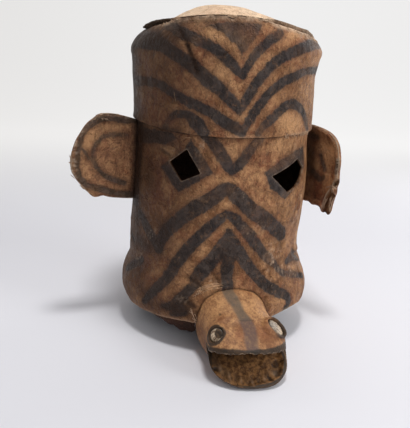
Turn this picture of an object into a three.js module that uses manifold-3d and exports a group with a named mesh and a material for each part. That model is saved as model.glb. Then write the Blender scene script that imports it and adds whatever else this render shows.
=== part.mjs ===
// A helmet mask of stiffened bark cloth: a tube that covers the whole head, with a
// separate crown band, a domed lid, two ear flaps, cut eye holes and a carved animal
// head that juts out through the front of the rim. Units are millimetres, +Z is up and
// the face looks along -Y. Angles go round the tube from the middle of the face, in
// degrees, and grow towards +X, which is the wearer's left.
import * as THREE from "three";
import { mergeVertices } from "three/addons/utils/BufferGeometryUtils.js";
import Module from "manifold-3d";

const wasm = await Module();
wasm.setup();

// Driving dimensions of the cloth tube
const WALL = 3; // thickness of the stiffened cloth
const GAP = 0.3; // clearance between pieces that touch
const AROUND = 48; // facets round the tube
// Sections of the tube as height, sideways offset of the centre, outer radius
const FACE_SECTIONS = [
  [0, -2, 101],
  [14, -3, 108.5],
  [30, -2, 121],
  [45, 0, 129],
  [60, 0.5, 130],
  [74, 0.5, 127],
  [88, 0, 121.5],
  [102, -3, 118],
  [125, -4.5, 116.5],
  [170, -2.5, 117],
  [220, -2, 116],
  [260, -3, 114.5],
  [302, -4, 114.5],
];
const BAND_SECTIONS = [
  [268, -4, 118],
  [290, -4, 118.5],
  [310, -4.5, 119],
  [335, -5, 120.5],
  [372, -5.5, 121.5],
  [410, -5.5, 119.5],
];
const FACE_TOP = 302; // the face tube ends here, inside the crown band
const PLUG_FOOT = 10; // a trimming plug of the tube runs this far below the ground
const FACE_LEVELS = 16;
const FACE_LEVEL_POWER = 1.35; // packs the levels towards the bulging cheeks
// The rim is cut on a slant, high over the wearer's chest, and is flat at the back
const RIM_SIDE = 25; // height of the rim under the ears
const RIM_FRONT_RISE = 15;
const RIM_BACK_FALL = 35;
const RIM_ARCH = 12; // the rim arches up beside the carved head, on the wearer's left
const RIM_ARCH_ANGLE = 45;
const RIM_ARCH_SPREAD = 26;

// Crown band and lid
const SEAM_HEIGHT = 277.5; // the band's lower edge
const SEAM_DIP = 3.5; // the lower edge dips here at the front
const SEAM_DIP_ANGLE = -20;
const BAND_LEVELS = 7;
const BAND_LEVEL_POWER = 0.8; // packs the levels towards the rounded shoulder
const CROWN_SIDE = 387; // height of the crown's top edge over the ears
const CROWN_ARCH = 20; // extra height at the front and back
const CROWN_TURN = 10; // the arch's ridge is turned by this angle
const SHOULDER_DEPTH = 22; // the band rolls inwards over this height
const SHOULDER_INSET = 9.5;
const SHOULDER_SLANT = 0.18; // more so on the wearer's right, less on the left
const LID_CENTRE_X = -5.5;
const LID_RADIUS = 109.5;
const LID_THICKNESS = 4;
const LID_RINGS = 7;
const LID_AROUND = 40;
const LID_EDGE_POWER = 4; // how close to its edge the lid turns down to the crown
// Upper face of the lid, a vault that runs from front to back: sideways place, height
const LID_VAULT = [
  [-116, 386],
  [-94, 394.5],
  [-74, 402],
  [-50, 415],
  [-28, 423.5],
  [-10, 422.5],
  [12, 418],
  [40, 411.5],
  [68, 402.5],
  [105, 390],
];
const LID_LIFT = 3; // one side of the lid has come loose and lifted
const LID_LIFT_ANGLE = -68;
const LID_LIFT_SPREAD = 17;

// Eye holes: the corners of each cut diamond as angle and height
const EYE_HOLES = [
  [[-35.4, 255], [-25.8, 227.5], [-38.2, 214.5], [-47.4, 236]],
  [[42.8, 245], [52.5, 231], [33.8, 205], [20.3, 227]],
];
const EYE_CUT_DEPTH = 25; // each cutter reaches this far either side of the cloth

// Ear flaps: where each is sewn on, how far it swings forward, and its outline as
// distance from the tube and height
const EAR_THICKNESS = 9;
const EAR_EDGE = 2.2; // rounding of the ear's edges
const EAR_ROOT = 8; // runs this far into the tube before it is trimmed
const EARS = [
  {
    name: "ear_right",
    x: -117,
    y: 0,
    side: -1,
    sweep: 15,
    outline: [
      [0, 276], [27, 281.5], [50, 282.5], [70, 268.5], [83, 248], [89, 224],
      [85, 203], [71, 185], [60, 176], [46, 173.5], [20, 170], [0, 168.5],
    ],
  },
  {
    name: "ear_left",
    x: 117,
    y: 8,
    side: 1,
    sweep: 70,
    outline: [
      [0, 276.5], [16, 277.5], [45, 274.5], [61, 269], [72, 257], [78, 236],
      [79, 210], [76, 188], [72, 168], [68, 162.5], [57, 163], [48, 168.5],
      [36, 168], [20, 169.5], [0, 170.5],
    ],
  },
];

// Carved animal head, turned a little to the side: sections as distance in front of the
// tube's axis, sideways place of the middle, half width, top height, bottom height,
// height of the widest place, and sideways lean for each unit of height
const SNOUT_SECTIONS = [
  [103, -1.5, 44, 82, 8, 44, 0],
  [122, -1.5, 46.5, 85.5, 3, 44, 0],
  [140, -0.8, 45.3, 80, 0, 42, 0.02],
  [156, 0.6, 46, 73, 0, 40, 0.08],
  [172, 2, 49, 66.5, 0, 38, 0.14],
  [186, 0.5, 47.8, 60, 0, 36, 0.18],
  [198, 1, 44.5, 54.5, 0, 34, 0.18],
  [208, 1.5, 37.5, 50, 0, 32, 0.18],
  [215, 2, 28, 46.5, 1, 30, 0.18],
  [220, 2, 11, 42, 5, 28, 0.18],
];
const SNOUT_AROUND = 36;
const SNOUT_STEPS = 15;
const SNOUT_ROUNDNESS = 2.25; // exponent of the section above its widest place
const SNOUT_FULLNESS = 3.4; // and below it
// The open mouth is a wedge cut right across: its corner, then the two lips' far ends
const MOUTH_CORNER = [163, 34.5];
const MOUTH_UPPER = [240, 46.5];
const MOUTH_LOWER = [240, -7];
const MOUTH_REACH = 80; // half of the cutter's length across the head
// Eyes of the animal head: the middle of each inlay's rim
const EYES = [
  { name: "animal_eye_right", side: -1, x: -36.5, reach: 178, height: 54.5 },
  { name: "animal_eye_left", side: 1, x: 40.5, reach: 177, height: 60 },
];
const EYE_TILT = 40; // the eye's face leans outwards from straight up
const EYE_FORWARD = 22; // and forwards
const INLAY_RADIUS = 9;
const INLAY_THICKNESS = 4.5;
const INLAY_PROUD = 2; // how far its domed face stands out of the socket
const EYE_AROUND = 24;
const SOCKET_REACH = 10; // the socket's cutter runs this far out of the eye's face
// Raised collar round each inlay: radius and height over the inlay's rim
const EYE_COLLAR = [
  [15.5, -18],
  [14.8, -9],
  [13.6, -3],
  [11.8, 0.6],
  [10.6, 1.2],
];

// Torn lining that hangs below the front of the rim
const FLAP_FROM = -60;
const FLAP_TO = -22;
const FLAP_THICKNESS = 2.8;
const FLAP_TOP = 46;
const FLAP_BOTTOM = 15;
const FLAP_TEAR = 2.4; // depth of the torn edge's waves
const FLAP_SPAN = [0.12, 0.8]; // the part of a half wave that its lower edge follows
const FLAP_STEPS = 16;
const FLAP_LEVELS = 4;

const rad = THREE.MathUtils.degToRad;
const lerp = THREE.MathUtils.lerp;

// Smooth value of every column of a table at a given first column, without overshoot
function tableAt(rows, at) {
  const last = rows.length - 1;
  const x = THREE.MathUtils.clamp(at, rows[0][0], rows[last][0]);
  let k = 0;
  while (k < last - 1 && x > rows[k + 1][0]) k++;
  const width = rows[k + 1][0] - rows[k][0];
  const t = (x - rows[k][0]) / width;
  return rows[k].slice(1).map((_, i) => {
    const column = i + 1;
    const slope = (j) => (rows[j + 1][column] - rows[j][column]) / (rows[j + 1][0] - rows[j][0]);
    const tangent = (j) => {
      if (j === 0) return slope(0);
      if (j === last) return slope(last - 1);
      const [before, after] = [slope(j - 1), slope(j)];
      return before * after <= 0 ? 0 : (2 * before * after) / (before + after);
    };
    const [a, b] = [rows[k][column], rows[k + 1][column]];
    const [ta, tb] = [tangent(k) * width, tangent(k + 1) * width];
    const [t2, t3] = [t * t, t * t * t];
    return (
      (2 * t3 - 3 * t2 + 1) * a + (t3 - 2 * t2 + t) * ta + (3 * t2 - 2 * t3) * b + (t3 - t2) * tb
    );
  });
}

// Point on the tube that a table describes, moved inwards by inset
function onTube(rows, angle, height, inset = 0) {
  const [centre, radius] = tableAt(rows, height);
  const a = rad(angle);
  return [
    centre + (radius - inset) * Math.sin(a),
    -(radius - inset) * Math.cos(a),
    height,
  ];
}

function rimHeight(angle) {
  const forward = Math.cos(rad(angle));
  const from = THREE.MathUtils.euclideanModulo(angle - RIM_ARCH_ANGLE + 180, 360) - 180;
  const arch = RIM_ARCH * Math.exp(-Math.pow(from / RIM_ARCH_SPREAD, 2));
  return Math.max(0, RIM_SIDE + (forward > 0 ? RIM_FRONT_RISE : RIM_BACK_FALL) * forward + arch);
}

function seamHeight(angle) {
  return SEAM_HEIGHT - SEAM_DIP * Math.pow(Math.max(0, Math.cos(rad(angle - SEAM_DIP_ANGLE))), 4);
}

function crownHeight(angle) {
  return CROWN_SIDE + CROWN_ARCH * Math.pow(Math.cos(rad(angle + CROWN_TURN)), 2);
}

// How far the band has rolled inwards at a height, most over the ears
function shoulderInset(angle, height) {
  const sine = Math.sin(rad(angle));
  const side = 1 - SHOULDER_SLANT * sine;
  const below = crownHeight(angle) - height;
  const share = THREE.MathUtils.clamp(1 - below / (SHOULDER_DEPTH * side), 0, 1);
  return SHOULDER_INSET * side * lerp(0.5, 1, sine * sine) * share * share;
}

// Closed solid from points and triangles, turned inside out where that is needed
function solidFrom(points, triangles) {
  const geometry = new THREE.BufferGeometry();
  geometry.setAttribute("position", new THREE.Float32BufferAttribute(points.flat(), 3));
  geometry.setIndex(triangles.flat());
  return solidOf(geometry);
}

function solidOf(geometry) {
  const bare = geometry.clone();
  bare.deleteAttribute("normal");
  bare.deleteAttribute("uv");
  const merged = mergeVertices(bare, 1e-4);
  const triVerts = new Uint32Array(merged.index.array);
  const build = () =>
    new wasm.Manifold(
      new wasm.Mesh({ numProp: 3, vertProperties: merged.attributes.position.array, triVerts }),
    );
  const solid = build();
  if (solid.volume() > 0) return solid;
  for (let i = 0; i < triVerts.length; i += 3) {
    [triVerts[i + 1], triVerts[i + 2]] = [triVerts[i + 2], triVerts[i + 1]];
  }
  return build();
}

// Rings of points joined one to the next, with a flat cap on the first and the last
function loft(rings) {
  const count = rings[0].length;
  const points = rings.flat();
  const triangles = [];
  for (let r = 0; r + 1 < rings.length; r++) {
    for (let i = 0; i < count; i++) {
      const [a, b] = [r * count + i, r * count + ((i + 1) % count)];
      triangles.push([a, b, b + count], [a, b + count, a + count]);
    }
  }
  const cap = (start, outward) => {
    const ring = points.slice(start, start + count);
    const middle = [0, 1, 2].map((k) => ring.reduce((sum, p) => sum + p[k], 0) / count);
    const centre = points.push(middle) - 1;
    for (let i = 0; i < count; i++) {
      const [a, b] = [start + i, start + ((i + 1) % count)];
      triangles.push(outward ? [a, b, centre] : [b, a, centre]);
    }
  };
  cap(0, false);
  cap((rings.length - 1) * count, true);
  return solidFrom(points, triangles);
}

// Wall that closes on itself round the tube: its outer face goes up, its inner face down
function ringWall(around, levels, bottomAt, topAt, outerAt, innerAt, power = 1) {
  const loop = 2 * (levels + 1);
  const points = [];
  for (let i = 0; i < around; i++) {
    const angle = (360 * i) / around;
    const heights = Array.from({ length: levels + 1 }, (_, j) =>
      lerp(bottomAt(angle), topAt(angle), Math.pow(j / levels, power)),
    );
    heights.forEach((z) => points.push(outerAt(angle, z)));
    heights.reverse().forEach((z) => points.push(innerAt(angle, z)));
  }
  const triangles = [];
  for (let i = 0; i < around; i++) {
    for (let j = 0; j < loop; j++) {
      const next = (i + 1) % around;
      const up = (j + 1) % loop;
      const [a, b] = [i * loop + j, next * loop + j];
      const [c, d] = [next * loop + up, i * loop + up];
      triangles.push([a, b, c], [a, c, d]);
    }
  }
  return solidFrom(points, triangles);
}

function meshOf(name, solid, look) {
  const { vertProperties, triVerts } = solid.getMesh();
  const geometry = new THREE.BufferGeometry();
  geometry.setAttribute("position", new THREE.BufferAttribute(vertProperties, 3));
  geometry.setIndex(new THREE.BufferAttribute(triVerts, 1));
  geometry.computeVertexNormals();
  const mesh = new THREE.Mesh(geometry, new THREE.MeshStandardMaterial(look));
  mesh.name = name;
  return mesh;
}

const BARK_CLOTH = { color: 0x8a5f3f, roughness: 0.82, metalness: 0 };
const RAW_CLOTH = { color: 0xc79f72, roughness: 0.9, metalness: 0 };
const EAR_CLOTH = { color: 0x6e4a33, roughness: 0.85, metalness: 0 };
const CARVED_WOOD = { color: 0xa9743f, roughness: 0.62, metalness: 0 };
const EYE_INLAY = { color: 0xd9c6a0, roughness: 0.4, metalness: 0 };
const OLD_LINING = { color: 0x3f2a1e, roughness: 0.92, metalness: 0 };

// Solid plug with the face tube's own facets, grown outwards, to trim what touches it
function faceTube(grow) {
  const angles = Array.from({ length: AROUND }, (_, i) => (360 * i) / AROUND);
  const ring = (share) =>
    angles.map((angle) =>
      onTube(FACE_SECTIONS, angle, lerp(rimHeight(angle), FACE_TOP, share), -grow),
    );
  const rings = Array.from({ length: FACE_LEVELS + 1 }, (_, j) =>
    ring(Math.pow(j / FACE_LEVELS, FACE_LEVEL_POWER)),
  );
  const foot = rings[0].map(([x, y]) => [x, y, -PLUG_FOOT]);
  return loft([foot, ...rings]);
}

// Plug of the outside of the crown band's lower part, grown by a clearance
function bandFoot(grow) {
  const ring = (rise) =>
    Array.from({ length: AROUND }, (_, i) => {
      const angle = (360 * i) / AROUND;
      return onTube(BAND_SECTIONS, angle, seamHeight(angle) - grow + rise, -grow);
    });
  return loft([ring(0), ring(15), ring(30)]);
}

function eyeHole(corners) {
  const ring = (inset) => corners.map(([angle, z]) => onTube(FACE_SECTIONS, angle, z, inset));
  return loft([ring(EYE_CUT_DEPTH), ring(-EYE_CUT_DEPTH)]);
}

// Outside of the carved head before the mouth is cut, grown outwards by a clearance
function snoutForm(grow) {
  const [first, last] = [SNOUT_SECTIONS[0][0], SNOUT_SECTIONS.at(-1)[0]];
  const rings = [];
  for (let s = 0; s <= SNOUT_STEPS; s++) {
    const reach = lerp(first, last, Math.sin((s / SNOUT_STEPS) * (Math.PI / 2)));
    const [centre, half, top, bottom, middle, lean] = tableAt(SNOUT_SECTIONS, reach);
    rings.push(
      Array.from({ length: SNOUT_AROUND }, (_, i) => {
        const a = (2 * Math.PI * i) / SNOUT_AROUND;
        const above = Math.sin(a) >= 0;
        const power = 2 / (above ? SNOUT_ROUNDNESS : SNOUT_FULLNESS);
        const tall = (above ? top - middle : middle - bottom) + grow;
        const across = Math.sign(Math.cos(a)) * Math.pow(Math.abs(Math.cos(a)), power);
        const up = Math.sign(Math.sin(a)) * Math.pow(Math.abs(Math.sin(a)), power);
        return [centre + (half + grow) * across - lean * tall * up, -reach, middle + tall * up];
      }),
    );
  }
  return loft(rings);
}

// Wedge that opens the mouth, right across the head
function mouthWedge() {
  const shape = new THREE.Shape([MOUTH_CORNER, MOUTH_UPPER, MOUTH_LOWER].map(
    ([reach, z]) => new THREE.Vector2(-reach, z),
  ));
  const prism = new THREE.ExtrudeGeometry(shape, { depth: 2 * MOUTH_REACH, bevelEnabled: false });
  // The shape's own x and y become the model's y and z
  prism.rotateX(Math.PI / 2);
  prism.rotateZ(Math.PI / 2);
  prism.translate(-MOUTH_REACH, 0, 0);
  return solidOf(prism);
}

// Moves a geometry whose own axis is +Y to one of the head's eyes, axis outwards
function toEye(geometry, { side, x, reach, height }) {
  const outward = new THREE.Vector3(0, 0, 1)
    .applyAxisAngle(new THREE.Vector3(1, 0, 0), rad(EYE_FORWARD))
    .applyAxisAngle(new THREE.Vector3(0, 1, 0), side * rad(EYE_TILT));
  const turn = new THREE.Quaternion().setFromUnitVectors(new THREE.Vector3(0, 1, 0), outward);
  return geometry.applyQuaternion(turn).translate(x, -reach, height);
}

// Closed profile of radius and height, turned round its axis
function turned(profile) {
  const closed = [[0, profile[0][1]], ...profile, [0, profile.at(-1)[1]]];
  return new THREE.LatheGeometry(closed.map(([x, y]) => new THREE.Vector2(x, y)), EYE_AROUND);
}

// Disc with a domed outer face
function eyeInlay(eye) {
  const dome = [0, 25, 50, 75].map((angle) => [
    INLAY_RADIUS * Math.cos(rad(angle)),
    INLAY_PROUD * Math.sin(rad(angle)),
  ]);
  return solidOf(toEye(turned([[INLAY_RADIUS, -INLAY_THICKNESS], ...dome]), eye));
}

function carvedHead() {
  const reach = INLAY_RADIUS + GAP;
  const bottom = -INLAY_THICKNESS - GAP;
  return EYES.reduce((head, eye) => {
    const collar = solidOf(toEye(turned(EYE_COLLAR), eye));
    const socket = solidOf(toEye(turned([[reach, bottom], [reach, SOCKET_REACH]]), eye));
    return head.add(collar).subtract(socket);
  }, snoutForm(0)).subtract(mouthWedge());
}

// Flap cut to its outline, swung forward at the tube's side and trimmed to the tube
function earFlap({ x, y, side, sweep, outline }) {
  const [root, ...rest] = outline.map(([out, z]) => new THREE.Vector2(out, z));
  const tip = rest.at(-1);
  const shape = new THREE.Shape();
  shape.moveTo(-EAR_ROOT, root.y - EAR_EDGE);
  shape.lineTo(root.x, root.y - EAR_EDGE);
  shape.splineThru(rest.map((p) => new THREE.Vector2(p.x, p.y)));
  shape.lineTo(-EAR_ROOT, tip.y);
  const flap = new THREE.ExtrudeGeometry(shape, {
    depth: EAR_THICKNESS - 2 * EAR_EDGE,
    curveSegments: 2,
    bevelThickness: EAR_EDGE,
    bevelSize: EAR_EDGE,
    bevelOffset: -EAR_EDGE,
    bevelSegments: 2,
  });
  flap.translate(0, 0, -EAR_THICKNESS / 2 + EAR_EDGE);
  flap.rotateX(Math.PI / 2);
  flap.rotateZ(side > 0 ? rad(-sweep) : rad(180 + sweep));
  flap.translate(x, y, 0);
  return solidOf(flap).subtract(faceTube(GAP)).subtract(bandFoot(GAP));
}

// Height of the lid's upper face: a vault that meets the crown's top edge
function lidHeight(angle, share) {
  const a = rad(angle);
  const edge = crownHeight(angle) + GAP + LID_THICKNESS + lidLift(angle);
  const [vault] = tableAt(LID_VAULT, LID_CENTRE_X + share * LID_RADIUS * Math.sin(a));
  return lerp(vault, edge, Math.pow(share, LID_EDGE_POWER));
}

function lidLift(angle) {
  return LID_LIFT * Math.exp(-Math.pow((angle - LID_LIFT_ANGLE) / LID_LIFT_SPREAD, 2));
}

function crownLid() {
  const ring = (share, drop) =>
    Array.from({ length: LID_AROUND }, (_, i) => {
      const angle = (360 * i) / LID_AROUND - 180;
      const a = rad(angle);
      const radius = share * LID_RADIUS;
      return [
        LID_CENTRE_X + radius * Math.sin(a),
        -radius * Math.cos(a),
        lidHeight(angle, share) - drop,
      ];
    });
  const shares = Array.from({ length: LID_RINGS }, (_, k) => (k + 0.4) / (LID_RINGS - 0.6));
  return loft([
    ...shares.map((share) => ring(share, 0)),
    ...shares.reverse().map((share) => ring(share, LID_THICKNESS)),
  ]);
}

// Strip of old lining against the inside of the rim, with a wavy torn lower edge
function chinFlap() {
  const rings = [];
  for (let s = 0; s <= FLAP_STEPS; s++) {
    const share = s / FLAP_STEPS;
    const angle = lerp(FLAP_FROM, FLAP_TO, share);
    const tear = FLAP_TEAR * (Math.sin(share * 19) + Math.sin(share * 7 + 1));
    const drop = Math.sqrt(Math.sin(Math.PI * lerp(FLAP_SPAN[0], FLAP_SPAN[1], share)));
    const bottom = lerp(FLAP_TOP, FLAP_BOTTOM + tear, drop);
    const heights = Array.from({ length: FLAP_LEVELS + 1 }, (_, j) =>
      lerp(bottom, FLAP_TOP, j / FLAP_LEVELS),
    );
    rings.push([
      ...heights.map((z) => onTube(FACE_SECTIONS, angle, z, WALL)),
      ...heights.reverse().map((z) => onTube(FACE_SECTIONS, angle, z, WALL + FLAP_THICKNESS)),
    ]);
  }
  return loft(rings).intersect(faceTube(-WALL - GAP));
}

const neckHole = snoutForm(GAP);
const faceShell = EYE_HOLES.reduce(
  (shell, corners) => shell.subtract(eyeHole(corners)),
  ringWall(
    AROUND,
    FACE_LEVELS,
    rimHeight,
    () => FACE_TOP,
    (angle, z) => onTube(FACE_SECTIONS, angle, z),
    (angle, z) => onTube(FACE_SECTIONS, angle, z, WALL),
    FACE_LEVEL_POWER,
  ),
).subtract(neckHole);

// The band's inside fits round the face tube, and above it follows the band's outside
const crownBand = ringWall(
  AROUND,
  BAND_LEVELS,
  seamHeight,
  crownHeight,
  (angle, z) => onTube(BAND_SECTIONS, angle, z, shoulderInset(angle, z)),
  (angle, z) =>
    z < FACE_TOP + GAP
      ? onTube(FACE_SECTIONS, angle, z, -GAP)
      : onTube(BAND_SECTIONS, angle, z, shoulderInset(angle, z) + WALL),
  BAND_LEVEL_POWER,
);

const mask = new THREE.Group();
mask.add(meshOf("face_shell", faceShell, BARK_CLOTH));
mask.add(meshOf("crown_band", crownBand, BARK_CLOTH));
mask.add(meshOf("crown_lid", crownLid(), RAW_CLOTH));
EARS.forEach((ear) => mask.add(meshOf(ear.name, earFlap(ear), EAR_CLOTH)));
mask.add(meshOf("animal_head", carvedHead(), CARVED_WOOD));
EYES.forEach((eye) => mask.add(meshOf(eye.name, eyeInlay(eye), EYE_INLAY)));
mask.add(meshOf("chin_lining", chinFlap().subtract(neckHole), OLD_LINING));

// The origin is the middle of the footprint, on the ground
const box = new THREE.Box3().setFromObject(mask);
const middle = box.getCenter(new THREE.Vector3());
mask.position.set(-middle.x, -middle.y, -box.min.z);

export default mask;
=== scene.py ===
import math
from collections import namedtuple
from types import SimpleNamespace

import bpy
import numpy as np
from mathutils import Matrix, Vector


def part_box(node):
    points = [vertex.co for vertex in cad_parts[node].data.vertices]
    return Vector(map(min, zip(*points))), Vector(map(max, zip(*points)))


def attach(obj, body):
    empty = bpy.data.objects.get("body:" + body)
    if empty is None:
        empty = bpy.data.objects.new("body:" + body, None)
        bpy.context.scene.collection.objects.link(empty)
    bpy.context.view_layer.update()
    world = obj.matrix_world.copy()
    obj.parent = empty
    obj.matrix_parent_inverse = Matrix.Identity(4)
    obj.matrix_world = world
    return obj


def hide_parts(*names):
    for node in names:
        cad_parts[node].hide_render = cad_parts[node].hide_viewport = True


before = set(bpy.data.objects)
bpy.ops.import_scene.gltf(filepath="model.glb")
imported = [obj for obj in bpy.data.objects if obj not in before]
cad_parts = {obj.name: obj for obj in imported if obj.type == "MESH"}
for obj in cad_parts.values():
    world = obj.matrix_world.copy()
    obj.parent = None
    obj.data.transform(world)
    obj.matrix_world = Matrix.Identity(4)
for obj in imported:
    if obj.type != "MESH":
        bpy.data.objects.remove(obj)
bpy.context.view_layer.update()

MM = 0.001
WALL = 3.0
GAP = 0.3
LID_CENTRE_X = -5.5

lid_low, lid_high = (np.array(corner, float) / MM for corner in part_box("crown_lid"))
SHIFT = np.array([
    (lid_low[0] + lid_high[0]) / 2 - LID_CENTRE_X,
    (lid_low[1] + lid_high[1]) / 2,
    0.0,
])

# Sections of the tube as height, sideways offset of the centre, outer radius
FACE_SECTIONS = [
    (0, -2, 101), (14, -3, 108.5), (30, -2, 121), (45, 0, 129), (60, 0.5, 130),
    (74, 0.5, 127), (88, 0, 121.5), (102, -3, 118), (125, -4.5, 116.5),
    (170, -2.5, 117), (220, -2, 116), (260, -3, 114.5), (302, -4, 114.5),
]
BAND_SECTIONS = [
    (268, -4, 118), (290, -4, 118.5), (310, -4.5, 119), (335, -5, 120.5),
    (372, -5.5, 121.5), (410, -5.5, 119.5),
]
FACE_TOP = 302.0
RIM_SIDE, RIM_FRONT_RISE, RIM_BACK_FALL = 25.0, 15.0, 35.0
RIM_ARCH, RIM_ARCH_ANGLE, RIM_ARCH_SPREAD = 12.0, 45.0, 26.0
SEAM_HEIGHT, SEAM_DIP, SEAM_DIP_ANGLE = 277.5, 3.5, -20.0
CROWN_SIDE, CROWN_ARCH, CROWN_TURN = 387.0, 20.0, 10.0
SHOULDER_DEPTH, SHOULDER_INSET, SHOULDER_SLANT = 22.0, 9.5, 0.18
LID_RADIUS, LID_THICKNESS, LID_EDGE_POWER = 109.5, 4.0, 4
LID_VAULT = [
    (-116, 386), (-96, 394.5), (-79, 402.5), (-56, 415.5), (-30, 423.3), (-10, 422.5),
    (12, 418), (40, 411.5), (68, 402.5), (105, 390),
]
LID_LIFT, LID_LIFT_ANGLE, LID_LIFT_SPREAD = 3.0, -68.0, 17.0
EYE_HOLES = [
    [(-35.4, 255), (-25.8, 227.5), (-38.2, 214.5), (-47.4, 236)],
    [(42.8, 245), (52.5, 231), (49.5, 219), (42, 209), (33.6, 203.5), (26, 215), (18.6, 227.5)],
]
# Carved head: distance in front of the axis, middle, half width, top, bottom, height
# of the widest place, sideways lean for each unit of height
SNOUT_SECTIONS = [
    (103, -3.5, 42, 82, 8, 44, 0), (122, -3.5, 44.5, 85.5, 3, 44, 0),
    (140, -2.8, 43.3, 80, 0, 42, 0.02), (156, -0.4, 45, 73, 0, 40, 0.08),
    (172, 2, 49, 66.5, 0, 38, 0.14), (186, 0.5, 47.8, 60, 0, 36, 0.18),
    (198, 1, 44.5, 54.5, 0, 34, 0.18), (208, 1.5, 37.5, 50, 0, 32, 0.18),
    (215, 2, 28, 46.5, 1, 30, 0.18), (220, 2, 11, 42, 5, 28, 0.18),
]
JAW_FULLNESS = 4.5
SNOUT_ROUNDNESS, SNOUT_FULLNESS = 2.25, 3.4
# The open mouth from the side: distance in front of the axis and height
MOUTH_CORNER, MOUTH_BEND, MOUTH_UPPER, MOUTH_LOWER = (163, 34.5), (185, 37.5), (240, 53.5), (240, -7)
# Inlaid eyes: node, middle, the way that it looks, radius, middle of the pupil
Eye = namedtuple("Eye", "node middle way radius pupil")
EYES = [
    Eye("animal_eye_right", (-37.5, -179.5, 52.2), (-0.66, -0.60, 0.45), 8.8, (2.6, 3.4)),
    Eye("animal_eye_left", (36.0, -177, 58.2), (0.574, -0.257, 0.778), 11.6, None),
]
INLAY_THICKNESS, INLAY_PROUD = 4.5, 1.6
EYE_COLLAR = [
    (8.5, -18), (8.0, -12), (7.2, -8), (6.2, -4.6), (5.0, -2.0), (3.8, -0.4), (2.7, 0.5), (1.6, 0.8),
    (0.7, 0.5),
]

PAINT_REACH = 14.0  # how far from a painted stroke its distance still counts, in mm
NO_PAINT = -PAINT_REACH
STROKE_HALF = 8.0  # about half of the widest stroke

# Camera, fitted to the photograph
CAMERA_AT = (-216.6, -824.8, 394.2)
CAMERA_DOWN, CAMERA_YAW, CAMERA_ROLL = 16.3, 13.5, 4.1
FOCAL_PIXELS, IMAGE_WIDTH, IMAGE_HEIGHT = 633.0, 410, 428
SENSOR = 36.0


def place(points):
    return (np.asarray(points, float) + SHIFT) * MM


def lerp(a, b, t):
    return a + (b - a) * t


def smooth_step(low, high, value):
    t = np.clip((value - low) / (high - low), 0, 1)
    return t * t * (3 - 2 * t)


def between(value, low, low_full, high_full, high):
    """1 between two soft edges and 0 outside them."""
    return smooth_step(low, low_full, value) * smooth_step(high, high_full, value)


def hump(value, middle, half):
    """A bell curve of height 1 at its middle, and 0.37 at half from there."""
    return np.exp(-(((value - middle) / half) ** 2))


def direction(degrees):
    turn = math.radians(degrees)
    return np.array([math.cos(turn), math.sin(turn)])


def table_at(rows, at):
    """Smooth columns of a table at given first-column values, without overshoot."""
    rows = np.asarray(rows, float)
    x = np.clip(np.asarray(at, float), rows[0, 0], rows[-1, 0])
    k = np.clip(np.searchsorted(rows[:, 0], x) - 1, 0, len(rows) - 2)
    slopes = np.diff(rows[:, 1:], axis=0) / np.diff(rows[:, 0])[:, None]
    before, after = slopes[:-1], slopes[1:]
    total = np.where(before * after > 0, before + after, 1)
    tangents = np.vstack([
        slopes[:1],
        np.where(before * after > 0, 2 * before * after / total, 0),
        slopes[-1:],
    ])
    width = rows[k + 1, 0] - rows[k, 0]
    t = ((x - rows[k, 0]) / width)[..., None]
    width = width[..., None]
    a, b = rows[k, 1:], rows[k + 1, 1:]
    return (
        (2 * t**3 - 3 * t**2 + 1) * a + (t**3 - 2 * t**2 + t) * width * tangents[k]
        + (3 * t**2 - 2 * t**3) * b + (t**3 - t**2) * width * tangents[k + 1]
    )


def noise(points, size, seed=0, octaves=3, rough=0.5):
    """Smooth noise from -1 to 1 at points in millimetres, with bumps of a given size."""
    p = np.atleast_2d(np.asarray(points, float)) / np.asarray(size, float)
    total, weight, scale = np.zeros(len(p)), 0.0, 1.0
    for octave in range(octaves):
        q = p * 2.03**octave + 17.3 * octave + 5.1 * seed
        cell = np.floor(q).astype(np.int64)
        f = q - cell
        f = f * f * (3 - 2 * f)
        value = np.zeros(len(p))
        for corner in range(8):
            step = [(corner >> axis) & 1 for axis in range(3)]
            share = np.ones(len(p))
            for axis in range(3):
                share *= f[:, axis] if step[axis] else 1 - f[:, axis]
            h = (cell[:, 0] + step[0]) * 374761393 + (cell[:, 1] + step[1]) * 668265263
            h = (h + (cell[:, 2] + step[2]) * 2147483647 + seed * 974711) & 0xFFFFFFFF
            h = ((h ^ (h >> 13)) * 1274126177) & 0xFFFFFFFF
            value += share * (((h ^ (h >> 16)) & 0xFFFF) / 32767.5 - 1)
        total += scale * value
        weight += scale
        scale *= rough
    return total / weight


def row_noise(theta, per_unit, size, seed, octaves=3, rough=0.5):
    """Noise that changes only round the tube, at angles of per_unit millimetres each."""
    along = theta * per_unit
    return noise(np.stack([along, 0 * along, 0 * along], 1), (size, 1, 1), seed, octaves, rough)


def tube_point(rows, theta, z, inset=0.0):
    centre, radius = np.moveaxis(table_at(rows, z), -1, 0)
    a = np.radians(theta)
    return np.stack(
        [centre + (radius - inset) * np.sin(a), -(radius - inset) * np.cos(a), z + 0 * a], -1
    )


def wrapped(angle):
    return (np.asarray(angle, float) + 180) % 360 - 180


def rim_height(theta):
    forward = np.cos(np.radians(theta))
    arch = RIM_ARCH * hump(wrapped(theta - RIM_ARCH_ANGLE), 0, RIM_ARCH_SPREAD)
    fall = np.where(forward > 0, RIM_FRONT_RISE, RIM_BACK_FALL) * forward
    return np.maximum(0, RIM_SIDE + fall + arch)


def seam_height(theta):
    return SEAM_HEIGHT - SEAM_DIP * np.maximum(0, np.cos(np.radians(theta - SEAM_DIP_ANGLE))) ** 4


def crown_height(theta):
    return CROWN_SIDE + CROWN_ARCH * np.cos(np.radians(theta + CROWN_TURN)) ** 2


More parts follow.
